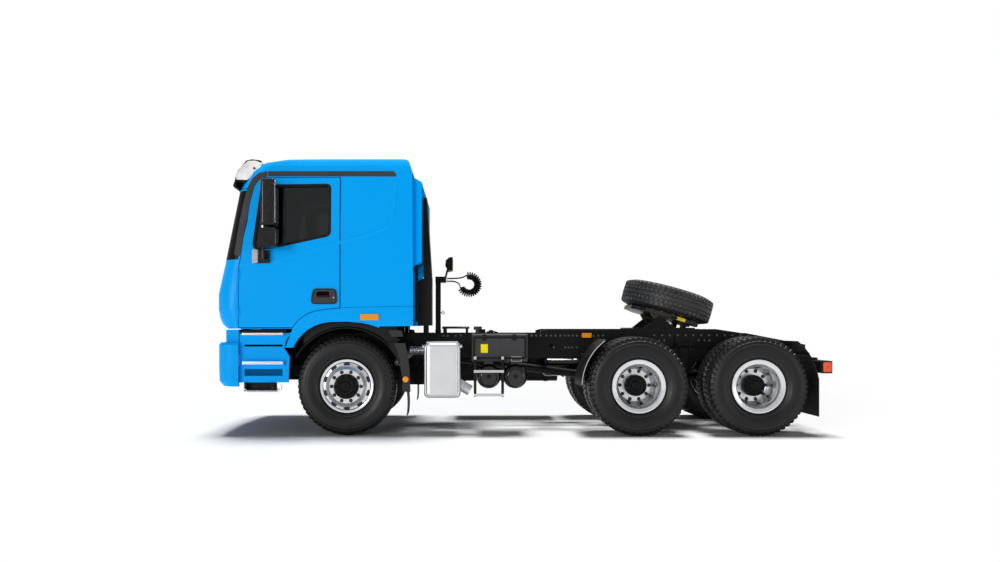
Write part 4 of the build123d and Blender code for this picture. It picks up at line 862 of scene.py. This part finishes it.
# painted shade: black behind the bumper's opening
form.box(-1222, -1216, -515, 515, 690, 910)
form.done("bumper_opening_shade", dark, "chassis", "black_plastic")

# ---- coiled air lines
COIL_X, COIL_Z, COIL_BEND = 1392, 1757, 108
COIL_START, COIL_SWEEP = 108, 268
HELIX = 43.0
TURNS = 23
TURN_POINTS = 12
OPENING_POINTS = 9
LINE_DIAMETER = 0.012


def helix_points(y):
    """The coil's turns about its bow, from the upper end to the lower."""
    out = []
    total = TURNS * TURN_POINTS
    for k in range(total + 1):
        bow = math.radians(COIL_START - COIL_SWEEP * k / total)
        turn = 2 * math.pi * k / TURN_POINTS
        radius = HELIX * min(1, (k + 2) / OPENING_POINTS, (total - k + 2) / OPENING_POINTS)
        out_by = COIL_BEND + radius * math.cos(turn)
        x, z = COIL_X + out_by * math.cos(bow), COIL_Z + out_by * math.sin(bow)
        out.append((x, y + radius * math.sin(turn), z))
    return out


def smooth_curve(name, points, diameter):
    """One NURBS spline with the points as its control points."""
    data = bpy.data.curves.new(name, "CURVE")
    data.dimensions = "3D"
    spline = data.splines.new("NURBS")
    spline.points.add(len(points) - 1)
    for p, q in zip(spline.points, points):
        p.co = (*at(*q), 1)
    spline.order_u = 3
    spline.use_endpoint_u = True
    spline.resolution_u = 3
    piece = bpy.data.objects.new(name, data)
    bpy.context.scene.collection.objects.link(piece)
    bpy.context.view_layer.update()
    line = bpy.data.meshes.new_from_object(piece.evaluated_get(bpy.context.evaluated_depsgraph_get()))
    ends = [[line.vertices[k].co for k in edge.vertices] for edge in line.edges]
    length = sum((a - b).length for a, b in ends)
    data.bevel_depth = diameter / 2
    data.bevel_resolution = 3
    return piece, length


for name, y in (("a", STAND_Y - 54), ("b", STAND_Y + 54)):
    route = [(STAND_X + 95.3, y, 1832), (1150, y, 1832), (1215, y, 1832), (1285, y, 1838), (1325, y, 1850)]
    route += helix_points(y)
    route += [(1278, y, 1742), (1266, y, 1772), (1212, y, 1797), (1150, y, 1798), (STAND_X + 95.3, y, 1798)]
    line, length = smooth_curve(f"coiled_line_{name}", route, LINE_DIAMETER)
    line.data.materials.append(rubber)
    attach(line, "chassis")
    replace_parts(line, f"air_line_{name}")
    for z in (1832, 1798):
        form.tube([(STAND_X + 94, y, z), (STAND_X + 104, y, z), (STAND_X + 105, y, z), (STAND_X + 126, y, z)],
                  [11, 11, 9, 8.2], 12)
    form.done(f"line_unions_{name}", bright, "chassis", "aluminium", smooth=25)

# ---- mirrors, side lamps, visor, aerial
for name, side in SIDES.items():
    door = f"{name}_door"
    for y1, y2, z1, z2 in ((1318, 1502, 2368, 2842), (1320, 1488, 2134, 2306)):
        outline = rounded(corners(y1, y2, z1, z2), 30)
        form.plate(outline, -741, -736.5, side)
    form.done(f"mirror_glass_{name}", mirror_glass, door, "glass", bevel=1)
    for z in (2795, 2350, 2330):
        form.lathe([(z - 14, 16), (z - 12, 20), (z + 12, 20), (z + 14, 16)], (-905, side * 1345, 0), "z", 24)
    form.done(f"mirror_clamps_{name}", bright, door, "aluminium")
    block_rings = []
    for x, grow in ((-1044, -8), (-1040, 1.5), (-978, 1.5)):
        lean = (x + 1044) * 0.10
        outline = ((1222, 1948 - grow + lean), (1283 + grow, 1948 - grow + lean),
                   (1283 + grow, 2098 + grow), (1222, 2098 + grow))
        block_rings.append([(x, side * y, z) for y, z in outline])
    form.rings(block_rings)
    form.done(f"side_lamp_{name}", pale_lens, door, "lamp", bevel=2)
    form.prism(several(VISOR_END, -1150), side * 1149, side * 1153)
    form.done(f"visor_end_{name}", finish(f"visor_end_{name}", srgb(208, 206, 204), 0.35, metal=0.3, coat=0.3,
                                          cloud=0.3, cloud_size=0.15), "cab", "grey_plastic", bevel=1.5)
    bx, bz = seen(*VISOR_BOLT, -1150)
    form.nut((bx, side * 1152, bz), side, across=22, height=7, stud=6, reach=9)
    form.done(f"visor_bolt_{name}", nut_steel, "cab", "cast", smooth=25)
form.tube([(-820, 300, 3128), (-818, 300, 3150), (-760, 300, 3154)], [16, 9, 3], 12)
form.done("aerial", black_plastic, "cab", "black_plastic")

# ---- front: grille, lamps, wipers, plates
for z in evenly(1342, 1710, 18):
    rows = [[front(y, z + dz, -42 - dx) for dx, dz in ((0, -3), (0, 3), (14, 5), (14, -1))]
            for y in evenly(-752, 752, 24)]
    form.rings(rows)
form.done("grille_slats", black_plastic, "cab", "black_plastic")
# painted shade: a black sheet behind the grille's slats
form.sheet([[front(y, z, -64) for y in evenly(-752, 752, 24)] for z in (1334, 1525, 1716)])
form.done("grille_back", dark, "cab")


BUMPER_FACE = -1466
BUMPER_CORNER = 190
BUMPER_CROWN = 60
BUMPER_STEPS = [(563, 48), (618, 6), (763, 0), (1033, 0), (1058, 22)]  # height, how far back


def bumper_front(y, z, lift=0.0):
    """The point of the bumper's face at y and z, raised by lift."""
    step = between(BUMPER_STEPS, z)[0]
    reach = HALF_WIDTH - step / 2 - BUMPER_CORNER
    if abs(y) <= reach:
        return (BUMPER_FACE + step - BUMPER_CROWN * (1 - (y / reach) ** 2) - lift, y, z)
    out = min(1.0, (abs(y) - reach) / BUMPER_CORNER)
    return (BUMPER_FACE + step + BUMPER_CORNER * (1 - math.sqrt(1 - out * out)) - lift, y, z)


REFLECTOR = [(-1408 - 52 * t ** 2, max(0.01, 72 * t)) for t in evenly(0, 1, 8)] + [(-1462, 78), (-1452, 80)]
for side in SIDES.values():
    heights = [(722, 8), (726, 0)] + [(z, 0) for z in evenly(740, 900, 6)] + [(914, 0), (918, 8)]
    rows = [[bumper_front(side * y, z, -10 - deep) for y in evenly(643, 1007, 14)] for z, deep in heights]
    form.sheet(rows)
cover = form.done("headlamp_covers", lens, "chassis", "lamp")
thick = cover.modifiers.new("wall", "SOLIDIFY")
thick.thickness = 0.004
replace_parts(cover, "headlamps")
for name, side in SIDES.items():
    ring = corners(641, 1009, 721, 919)
    form.rings([[(x, side * y, z) for y, z in ring] for x in (-1470, -1404)], caps=False)
    form.sheet([[(-1404, side * y, z) for y, z in edge] for edge in (ring[:2], ring[:1:-1])])
    form.done(f"headlamp_tub_{name}", black_gloss, "chassis", "black_plastic")
    for y in (735, 905):
        form.lathe(REFLECTOR, (0, side * y, 820), "x", 36)
        form.lathe([(-1408, 0.01), (-1412, 12), (-1434, 12), (-1440, 0.01)], (0, side * y, 820), "x", 16)
    form.done(f"reflectors_{name}", chrome, "chassis", "lamp")
    for z in (736, 904):
        form.tube([(-1440, side * y, z) for y in (655, 995)], 8, 12)
    form.done(f"indicator_bars_{name}", amber, "chassis", "amber")
for z in evenly(716, 884, 6):
    rows = [[(x0 + 48 + dx, y, z + dz) for dx, dz in ((0, -4), (0, 4), (18, 7), (18, -1))]
            for y in evenly(-516, 516, 16) for x0, _, _ in [bumper_front(y, z)]]
    form.rings(rows)
form.done("intake_slats", black_plastic, "chassis", "black_plastic")
form.plate(rounded(corners(-260, 260, 622, 732), 12), -1524.5, -1520)
form.done("front_plate", white_plate, "chassis", bevel=1)
WIPER_PIVOTS = (-690, -60, 560)
for k, y in enumerate(WIPER_PIVOTS):
    base = front(y, 1982, 4)
    form.lathe([(-8, 20), (-6, 26), (12, 26), (16, 18), (18, 0.01)], (base[0] - 4, y, 1962), "x", 24)
    tip_y, tip_z = y + 330, 2072
    form.tube([front(y, 1962, 16), front(y + 120, 2004, 10), front(tip_y, tip_z, 6)], [9, 7, 5], 8)
    blade = [front(*place, -4) for place in zip(evenly(tip_y - 270, tip_y + 270, 10),
                                                evenly(tip_z - 22, tip_z + 22, 10))]
    form.tube(blade, 7, 8)
    form.done(f"wiper_{k + 1}", black_plastic, "cab", "black_plastic")
for heights in ((1976, 1998, 2022), (2745, 2770, 2794)):
    form.sheet([[front(y, z, -12) for y in evenly(-1058, 1058, 30)] for z in heights])
form.done("screen_bands", screen_black, "cab", "glass")


# ---- inside the cab
def cushion(name, centre, half, lean, material, crown=0.1):
    """A padded block, crowned on its faces and drawn in at its corners."""
    n = 8
    verts = {}

    def vert(u, v, w):
        key = (round(u, 4), round(v, 4), round(w, 4))
        if key not in verts:
            a, b, c = (1 - u * u), (1 - v * v), (1 - w * w)
            x = half[0] * u * (0.90 + crown * b * c) * (1 - 0.05 * v * v * w * w)
            y = half[1] * v * (0.94 + 0.06 * a * c) * (1 - 0.03 * u * u * w * w)
            z = half[2] * w * (0.94 + 0.06 * a * b) * (1 - 0.05 * u * u * v * v)
            tilt = math.radians(lean)
            verts[key] = form.point(centre[0] + x * math.cos(tilt) + z * math.sin(tilt), centre[1] + y,
                                    centre[2] - x * math.sin(tilt) + z * math.cos(tilt))
        return verts[key]

    grid = evenly(-1, 1, n)
    for axis in range(3):
        for end in (-1, 1):
            for i in range(n):
                for j in range(n):
                    quad = []
                    for a, b in ((i, j), (i + 1, j), (i + 1, j + 1), (i, j + 1)):
                        p = [grid[a], grid[b]]
                        p.insert(axis, end)
                        quad.append(vert(*p))
                    form.bm.faces.new(quad)
    made = form.done(name, material, "cab", "seat_fabric", smooth=70, subdivide=1)


for name, side in SIDES.items():
    y = side * 690
    form.box(-480, -130, y - 190, y + 190, 1331, 1360)
    form.tube([(-300, y, 1360), (-300, y, 1580)], [110, 90], 16)
    form.box(-560, -80, y - 215, y + 215, 1575, 1612)
    base = form.done(f"seat_base_{name}", black_plastic, "cab", "black_plastic", bevel=6)
    if name == "left":
        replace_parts(base, "seats")
    cushion(f"seat_cushion_{name}", (-385, y, 1672), (255, 240, 62), 2, trim_cloth)
    cushion(f"seat_back_{name}", (-42, y, 2020), (62, 232, 300), 9, trim_cloth, 0.14)
    cushion(f"seat_head_{name}", (28, y, 2400), (45, 150, 78), 6, seat_edge, 0.14)
    for edge in (-1, 1):
        cushion(f"seat_wing_{name}_{'in' if edge * side < 0 else 'out'}", (-70, y + edge * 205, 2010),
                (58, 36, 270), 9, seat_edge, 0.14)
cushion("bunk", (382, 0, 1640), (228, 1125, 132), 0, seat_edge, 0.06)
form.box(-985, -972, -1060, -180, 1800, 1900)
form.box(-990, -975, -900, -350, 1905, 1965)
form.done("dash_binnacle", black_plastic, "cab", "black_plastic", bevel=8)

# ---- steps and arches
STEP_EDGE_Y = 1229.5
for name, side in SIDES.items():
    for z1, z2 in ((1143, 1168), (812, 846)):
        rings = []
        for i, x in enumerate(evenly(-1164, -706, 46)):
            tooth = 1.5 if i % 2 else 0
            inner, outer = side * (STEP_EDGE_Y - 3), side * (STEP_EDGE_Y + tooth)
            rings.append([(x, inner, z1), (x, outer, z1 + 1), (x, outer, z2 - 1), (x, inner, z2)])
        form.rings(rings)
    form.done(f"step_edges_{name}", bright, "chassis", "aluminium")
    form.tube([(x, side * 1212, z) for x, z in several(LOW_STEP_HOOP, -1213)], 9, 12)
    form.done(f"low_step_hoop_{name}", bright, "chassis", "aluminium")
    for x in evenly(-1140, -870, 8):
        form.box(x - 6, x + 6, side * 990, side * 1205, 530, 534)
    for z1, z2 in ((1012, 1036), (682, 760)):
        for x in evenly(-1140, -730, 10):
            form.box(x - 5, x + 5, side * 1161, side * 1175, z1, z1 + 5)
    form.done(f"step_grips_{name}", black_plastic, "chassis", "black_plastic")
    # painted shade: black at the back of the upper step pocket
    form.box(-1148, -722, side * 1162.5, side * 1164, 1013, 1035)
    form.done(f"step_wells_{name}", dark, "chassis", "black_plastic")
    # painted shade: dark blue at the back of the lower step pocket
    form.box(-1148, -722, side * 1162.5, side * 1164, 683, 759)
    form.done(f"step_recess_{name}", recess_painted_shade, "chassis", "blue_paint")
    # painted shade: a black sheet in the gap under the cab's sill
    form.box(-1206, -560, side * 1120, side * 1126, 1206.8, 1262)
    form.done(f"sill_gap_shade_{name}", dark, "cab", "black_plastic")
    # painted shade: a black block in the gap between the bumper and the steps
    form.box(-1232, -1190, side * 1080, side * 1100, 600, 1200)
    form.done(f"step_gap_shade_{name}", dark, "chassis", "black_plastic")
    # edge of the mudguard behind the front wheel, its lamp and flap
    for outline in GUARD_EDGES:
        form.prism(several(outline, -1242), side * 1241, side * 1243.5)
    form.done(f"guard_edge_{name}", dark_trim, "chassis", "grey_plastic", bevel=1)
    # skirt that closes the cab's floor down to the wheel's liner
    low = wheel_arc(0, 679, range(32, 137, 4))
    form.prism([(low[0][0], 1289)] + low + [(low[-1][0], 1289)], side * 1150, side * 1158)
    form.done(f"arch_skirt_{name}", guard_plastic, "cab", "black_plastic")
    lx, lz = seen(*GUARD_LAMP, -1243)
    form.lathe(outward(((1243, 38), (1249, 38), (1251, 35)), side), (lx, 0, lz), "y", 32)
    form.done(f"guard_lamp_rim_{name}", black_plastic, "chassis", "black_plastic")
    form.lathe(outward(((1243, 34), (1251, 34), (1256, 28), (1258, 14), (1259, 0.01)), side),
               (lx, 0, lz), "y", 32)
    form.done(f"guard_lamp_{name}", amber, "chassis", "amber")
    rows = []
    for i, z in enumerate(evenly(520, 235, 8)):
        bow = 10 * math.sin(math.pi * i / 8)
        rows.append([(x + bow, side * y, z) for x, y in ((684, 870), (684, 1228), (691, 1228), (691, 870))])
    form.rings(rows)
    form.done(f"front_flap_{name}", rubber, "chassis", "black_plastic")

# ---- frame fastenings
LEAF_EDGE = ((574, -2.5), (577.5, -1.5), (577.5, 1.5), (574, 2.5))
for side in SIDES.values():
    places = [(x, 1128) for x in (1080, 1130, 1230, 1290, 1440, 1500, 2150, 2205, 2260, 2330, 2385, 2440,
                                  2500, 2555, 2600, 2650, 2700, 2760, 2820, 2900, 2960, 3020)]
    places += [(x, 985) for x in (1250, 1310, 2420, 2560, 2600, 2640, 2700, 2900, 2960)]
    places += [(x, 1132 - max(0, x - 4750) * 0.17) for x in range(3640, 5400, 95)]
    places += [(x, 1070) for x in (3700, 3760, 3920, 4050, 4180, 4250, 4310)]
    for x, z in places:
        form.lathe(outward(((429, 13), (434, 13), (434, 10), (440, 9), (442, 6), (442, 0.01)), side),
                   (x, 0, z), "y", 10)
form.done("frame_bolts", bolt_steel, "chassis", "cast")
for side in SIDES.values():
    for level in evenly(0, 1, 5):
        a, b, c = (3300, 692 + 28 * level), (3975, 832 + 150 * level), (4650, 692 + 28 * level)
        line = arc_through(a, b, c, 24)[1:-1]
        form.rings([[(x, side * y, z + dz) for y, dz in LEAF_EDGE] for x, z in line])
    for x in (3915, 4035):
        form.tube([(x, side * 584, 700), (x, side * 584, 1000), (x, side * 570, 1022), (x, side * 520, 1026),
                   (x, side * 446, 1026)], 10, 10)
        form.nut((x, side * 584, 720), side, 30, 12, 8, 14)
    form.box(3895, 4055, side * 440, side * 596, 1018, 1036)
form.done("spring_clamps", chassis_black, "chassis", "cast", bevel=1)
for side in SIDES.values():
    x, z = seen(*FRAME_MARKER, -470)
    form.rings([[(x + dx * s, side * y, z + dz * s) for dx, dz in rounded(corners(-58, 58, -28, 28), 10)]
                for y, s in ((431, 1), (462, 1), (470, 0.9))])
form.done("frame_markers", amber, "chassis", "amber")
# painted shade: black discs in the frame's holes
for side in SIDES.values():
    x, z = seen(*FRAME_HOLE, -431)
    form.lathe([(side * 430.5, 20), (side * 431, 20), (side * 431, 0.01)], (x, 0, z), "y", 20)
form.done("frame_holes", dark, "chassis")

# ---- equipment
FILLER_CAP = ((1073, 60), (1090, 60), (1096, 54), (1112, 52), (1116, 44), (1116, 0.01))
WET_TANK = ((2330, 0.01), (2334, 60), (2348, 96), (2374, 118), (2400, 122), (2800, 122), (2826, 118),
            (2852, 96), (2866, 60), (2870, 0.01))
outline = rounded(corners(888, 1278, 440, 1038), 62, 8)
form.rings([[(x + (x > 1083) * -s * 2 + s, -1184 - t, z - s * (1 if z > 740 else -1)) for x, z in outline]
            for t, s in ((-2, 0), (3.5, 1), (5, 5), (3.5, 9), (-2, 10))], caps=False)
form.done("silencer_seam", aluminium, "chassis", "aluminium")
for x1, x2 in ((856, 900), (1262, 1306)):
    form.box(x1, x2, -1186, -1150, 1000, 1016)
form.tube([(876, -1168, 1010), (860, -1168, 1030)], 7, 8)
form.tube([(1290, -1168, 1010), (1306, -1168, 1030)], 7, 8)
form.done("silencer_brackets", bright, "chassis", "aluminium", bevel=1)
bellows = [(t, 44 + 6 * abs(math.sin(math.pi * (t - 690) / 22))) for t in range(690, 866, 4)]
form.lathe([(685, 42.5)] + bellows + [(868, 42.5)], (0, -800, 957), "x", 36)
form.done("exhaust_bellows", bright, "chassis", "aluminium", smooth=50)
outline = rounded(corners(1432, 2040, 868, 1128), 24)
inset = rounded(corners(1456, 2016, 892, 1104), 16)
form.rings([[(x, y, z) for x, z in line]
            for y, line in ((-1129, outline), (-1136, outline), (-1136, inset), (-1129, inset))], caps=False)
for x in (1560, 1900):
    form.box(x - 22, x + 22, -1142, -1128, 1080, 1150)
form.done("battery_cover_rim", guard_plastic, "chassis", "black_plastic", bevel=2)
(x1, z1), (x2, z2) = several(BATTERY_LABEL, -1131)
form.box(x1, x2, -1131.2, -1129, z1, z2)
form.done("battery_label", yellow, "chassis", bevel=0.4)
(x1, z1), (x2, z2) = several(BATTERY_TAG, -1131)
form.rings([[(x, -y, z) for x, z in rounded(corners(x1 - s, x2 + s, z1 - s, z2 + s), 5)]
            for y, s in ((1128, 4), (1133, 4), (1133, 0), (1130, 0))], caps=False)
form.done("battery_tag_frame", bright, "chassis", "aluminium")
for place in (1612, 1916):
    for y in (-1000, -700):
        form.lathe(band(y, 18, 138.5, 141.5), (place, 0, 670), "y", 48)
    form.lathe([(-1127, 24), (-1133, 22), (-1135, 12), (-1142, 10), (-1142, 0.01)], (place, 0, 670), "y", 24)
    form.lathe([(-1050, 138.3), (-1048, 140), (-1046, 138.3)], (place, 0, 670), "y", 48)
form.done("tank_straps", chassis_black, "chassis", "chassis_black")
for place in (1455, 1765):
    for z1, z2 in ((446, 451), (480, 718), (748, 868)):
        form.box(place - 15.5, place + 15.5, -1216.5, -1185.5, z1, z2)
form.done("ladder_sleeves", chassis_black, "chassis", "chassis_black", bevel=2)
for z in (478, 746):
    for x in evenly(1476, 1744, 13):
        form.tube([(x, -1206, z - 1), (x, -1206, z + 4)], [7, 5], 8)
form.done("ladder_studs", bright, "chassis", "aluminium")
for x in evenly(1072, 1385, 17):
    form.prism([(x - 7, 1229.5), (x + 7, 1229.5), (x + 5, 1240), (x - 5, 1240)], -450, 450)
form.done("deck_teeth", bolt_steel, "chassis", "aluminium", smooth=20)
for x in (1330, 1875, 2420):
    ring = rounded(corners(568, 1202, 508, 1077), 121, 10)
    form.rings([[(x + dx, y + (1 if y > 885 else -1) * s, z + (1 if z > 792 else -1) * s) for y, z in ring]
                for dx, s in ((-24, 0), (-24, 4), (24, 4), (24, 0))], caps=False)
form.lathe(FILLER_CAP, (1950, 880, 0), "z", 32)
form.done("fuel_tank_straps", chassis_black, "chassis", "chassis_black")
for z in evenly(2400, 2690, 12):
    edge = 905 - 0.05 * (z - 2400)
    form.prism([(872, z), (edge, z + 8), (edge, z + 12), (872, z + 4)], -1003, -697)
form.done("intake_louvres", black_plastic, "chassis", "black_plastic")

form.box(1480, 1590, -400, -300, 1160, 1206)
form.tube([(1600, -350, 1168), (1640, -350, 1176), (1700, -350, 1176), (1740, -350, 1164)], 9, 10)
form.lathe([(0, 26), (30, 26), (36, 20), (36, 0.01)], (1660, -350, 1161), "z", 20)
form.done("valve_block", chassis_black, "chassis", "chassis_black", bevel=2)

form.lathe(WET_TANK, (0, 300, 722), "x", 40)
for x in (2430, 2760):
    form.lathe(band(x, 18, 122.5, 125.5), (0, 300, 722), "x", 40)
    form.box(x - 18, x + 18, 292, 308, 842, 862)
    form.box(x - 18, x + 18, 300, 400, 858, 862)
form.done("wet_tank", tank_gloss, "chassis", "chassis_black")

# ---- hose stand
outline = [(-62, 1945), (62, 1945), (68, 2010), (50, 2065), (0, 2084), (-50, 2065), (-68, 2010)]
form.rings([[(x, STAND_Y + y * s, 2012 + (z - 2012) * s) for y, z in outline]
            for x, s in ((1190, 1), (1192, 0.97), (1193, 0.8))])
form.done("work_lamp_lens", lens, "chassis", "lamp")
x, z = seen(*LAMP_SOCKET, STAND_Y)
form.lathe([(z - 24, 16), (z - 20, 22), (z + 14, 22), (z + 20, 16), (z + 20, 0.01)],
           (x - 6, STAND_Y, 0), "z", 20)
form.done("lamp_socket", yellow, "chassis", "amber")
x, z = seen(*STAND_RING, STAND_Y)
form.lathe([(4 * math.cos(a), 15 + 4 * math.sin(a)) for a in evenly(0, 2 * math.pi, 12)],
           (x + 10, STAND_Y, z), "y", 24)
form.box(STAND_X + 20, x - 2, STAND_Y - 5, STAND_Y + 5, z - 5, z + 5)
form.box(STAND_X - 36, STAND_X + 36, STAND_Y - 36, STAND_Y + 36, 1168, 1200)
form.done("stand_ring", chassis_black, "chassis", "chassis_black", bevel=1)

# ---- bogie guards and tail
for side in SIDES.values():
    form.tube([(x, side * 1251, z) for x, z in wheel_arc(MID_AXLE, 646, range(127, 180, 3))], 5, 10)
form.done("guard_beads", bright, "chassis", "aluminium")
for side in SIDES.values():
    form.prism(rounded(corners(5344, 5472, 712, 853), 14), side * 858, side * 1238)
lamps = form.done("rear_lamp_housings", black_plastic, "chassis", "black_plastic", bevel=3)
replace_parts(lamps, "rear_lamps")
form_red, form_white = Form(), Form()
for side in SIDES.values():
    form.prism(rounded(corners(5368, 5462, 728, 838), 12), side * 1236, side * 1243)
    for target, y1, y2 in ((form, 1120, 1225), (form_red, 985, 1112), (form_white, 920, 977),
                           (form_red, 868, 912)):
        target.plate(rounded(corners(y1, y2, 722, 843), 10), 5470, 5476, side)
    form_red.lathe(outward(((1243, 14), (1245, 14), (1246, 0.01)), side), (5420, 0, 783), "y", 20)
form.done("rear_lamp_amber", red_amber, "chassis", "amber", bevel=2)
form_red.done("rear_lamp_red", red, "chassis", "amber", bevel=2)
form_white.done("rear_lamp_clear", lens, "chassis", "lamp", bevel=2)
for side in SIDES.values():
    form.box(5398, 5442, side * 431, side * 860, 842, 878)
    form.box(5398, 5442, side * 862, side * 898, 782, 878)
form.done("rear_lamp_arms", chassis_black, "chassis", "chassis_black", bevel=3)
form.plate(rounded(corners(-260, 260, 700, 815), 12), 5466, 5470)
form.done("rear_plate", white_plate, "chassis", bevel=1)
form.box(5458, 5466, -40, 40, 800, 900)
form.done("rear_plate_arm", chassis_black, "chassis", "chassis_black", bevel=2)

# ---- coupler
coupler_turn = Matrix((ALONG, Vector((0, 1, 0)), NORMAL)).transposed().to_4x4()
coupler_local = Matrix.Translation(at(*COUPLER)) @ coupler_turn
form = Form(coupler_local)
for radius in (175, 265, 345):
    form.lathe([(99.6, radius - 6), (100.6, radius - 5), (100.6, radius + 5), (99.6, radius + 6)],
               (-20, 0, 0), "z", 64)
form.tube([(120, -455, 70), (120, -520, 70), (150, -560, 66), (150, -600, 66)], 9, 12)
form.lathe([(-8, 62), (-2, 66), (0.6, 66)], (60, 0, 100), "z", 40)
form.done("coupler_grooves", cast_black, "coupler", "cast")
form.rings([[(185, y1, 58), (298, y2, 58), (298, y2, 97), (185, y1, 97)]
            for y1, y2 in ((-448.5, -422), (-446, -419.5))])
form.done("coupler_label", yellow, "coupler", bevel=0.4)

# ---- finishes of the CAD nodes
for material, names in (
    (chassis_black, "frame propshafts leaf_springs deck fuel_tank hose_stand fifth_wheel_base tie_rod"),
    (cast_black, "engine drive_axles front_axle knuckle_left knuckle_right"),
    (paint_low, "bumper step_panels"),
    (lens, "headlamps"),
    (black_plastic, "step_treads air_intake grille"),
    (guard_plastic, "mudguards"),
    (aluminium, "silencer"),
    (box_grey, "battery_box"),
    (tank_gloss, "air_tanks"),
    (bright, "side_ladder"),
    (rubber, "air_line_a air_line_b"),
    (red, "rear_lamps"),
    (lining, "cab_floor"),
    (paint, "cab_body front_panel door_left door_right"),
    (glass, "windscreen window_left window_right"),
    (paint_top, "cab_roof"),
    (paint_back, "cab_back"),
    (black_gloss, "sun_visor"),
    (dash_plastic, "dashboard"),
    (trim_cloth, "seats"),
    (amber, "marker_lamps"),
    (mirror_black, "mirror_left mirror_right"),
    (tyre_rubber, "front_tyre_left front_tyre_right mid_tyres_left mid_tyres_right "
                  "rear_tyres_left rear_tyres_right spare_tyre"),
    (rim_silver, "front_rim_left front_rim_right mid_rims_left mid_rims_right rear_rims_left "
                 "rear_rims_right spare_rim"),
    (grease, "fifth_wheel_plate"),
):
    for name in names.split():
        slots = nodes[name].material_slots
        for slot in slots:
            slot.material = material
        if len(slots) == 0:
            nodes[name].data.materials.append(material)

# ---- floor
floor_mesh = bpy.data.meshes.new("floor")
floor_mesh.from_pydata([(x, y, 0) for x, y in corners(-90, 90, -40, 110)], [], [(0, 1, 2, 3)])
floor = bpy.data.objects.new("floor", floor_mesh)
bpy.context.scene.collection.objects.link(floor)
floor_mesh.materials.append(finish("floor_white", (1 / ON_FLOOR,) * 3, 1.0, cloud=0.002, cloud_size=3,
                                   specular=0.0))
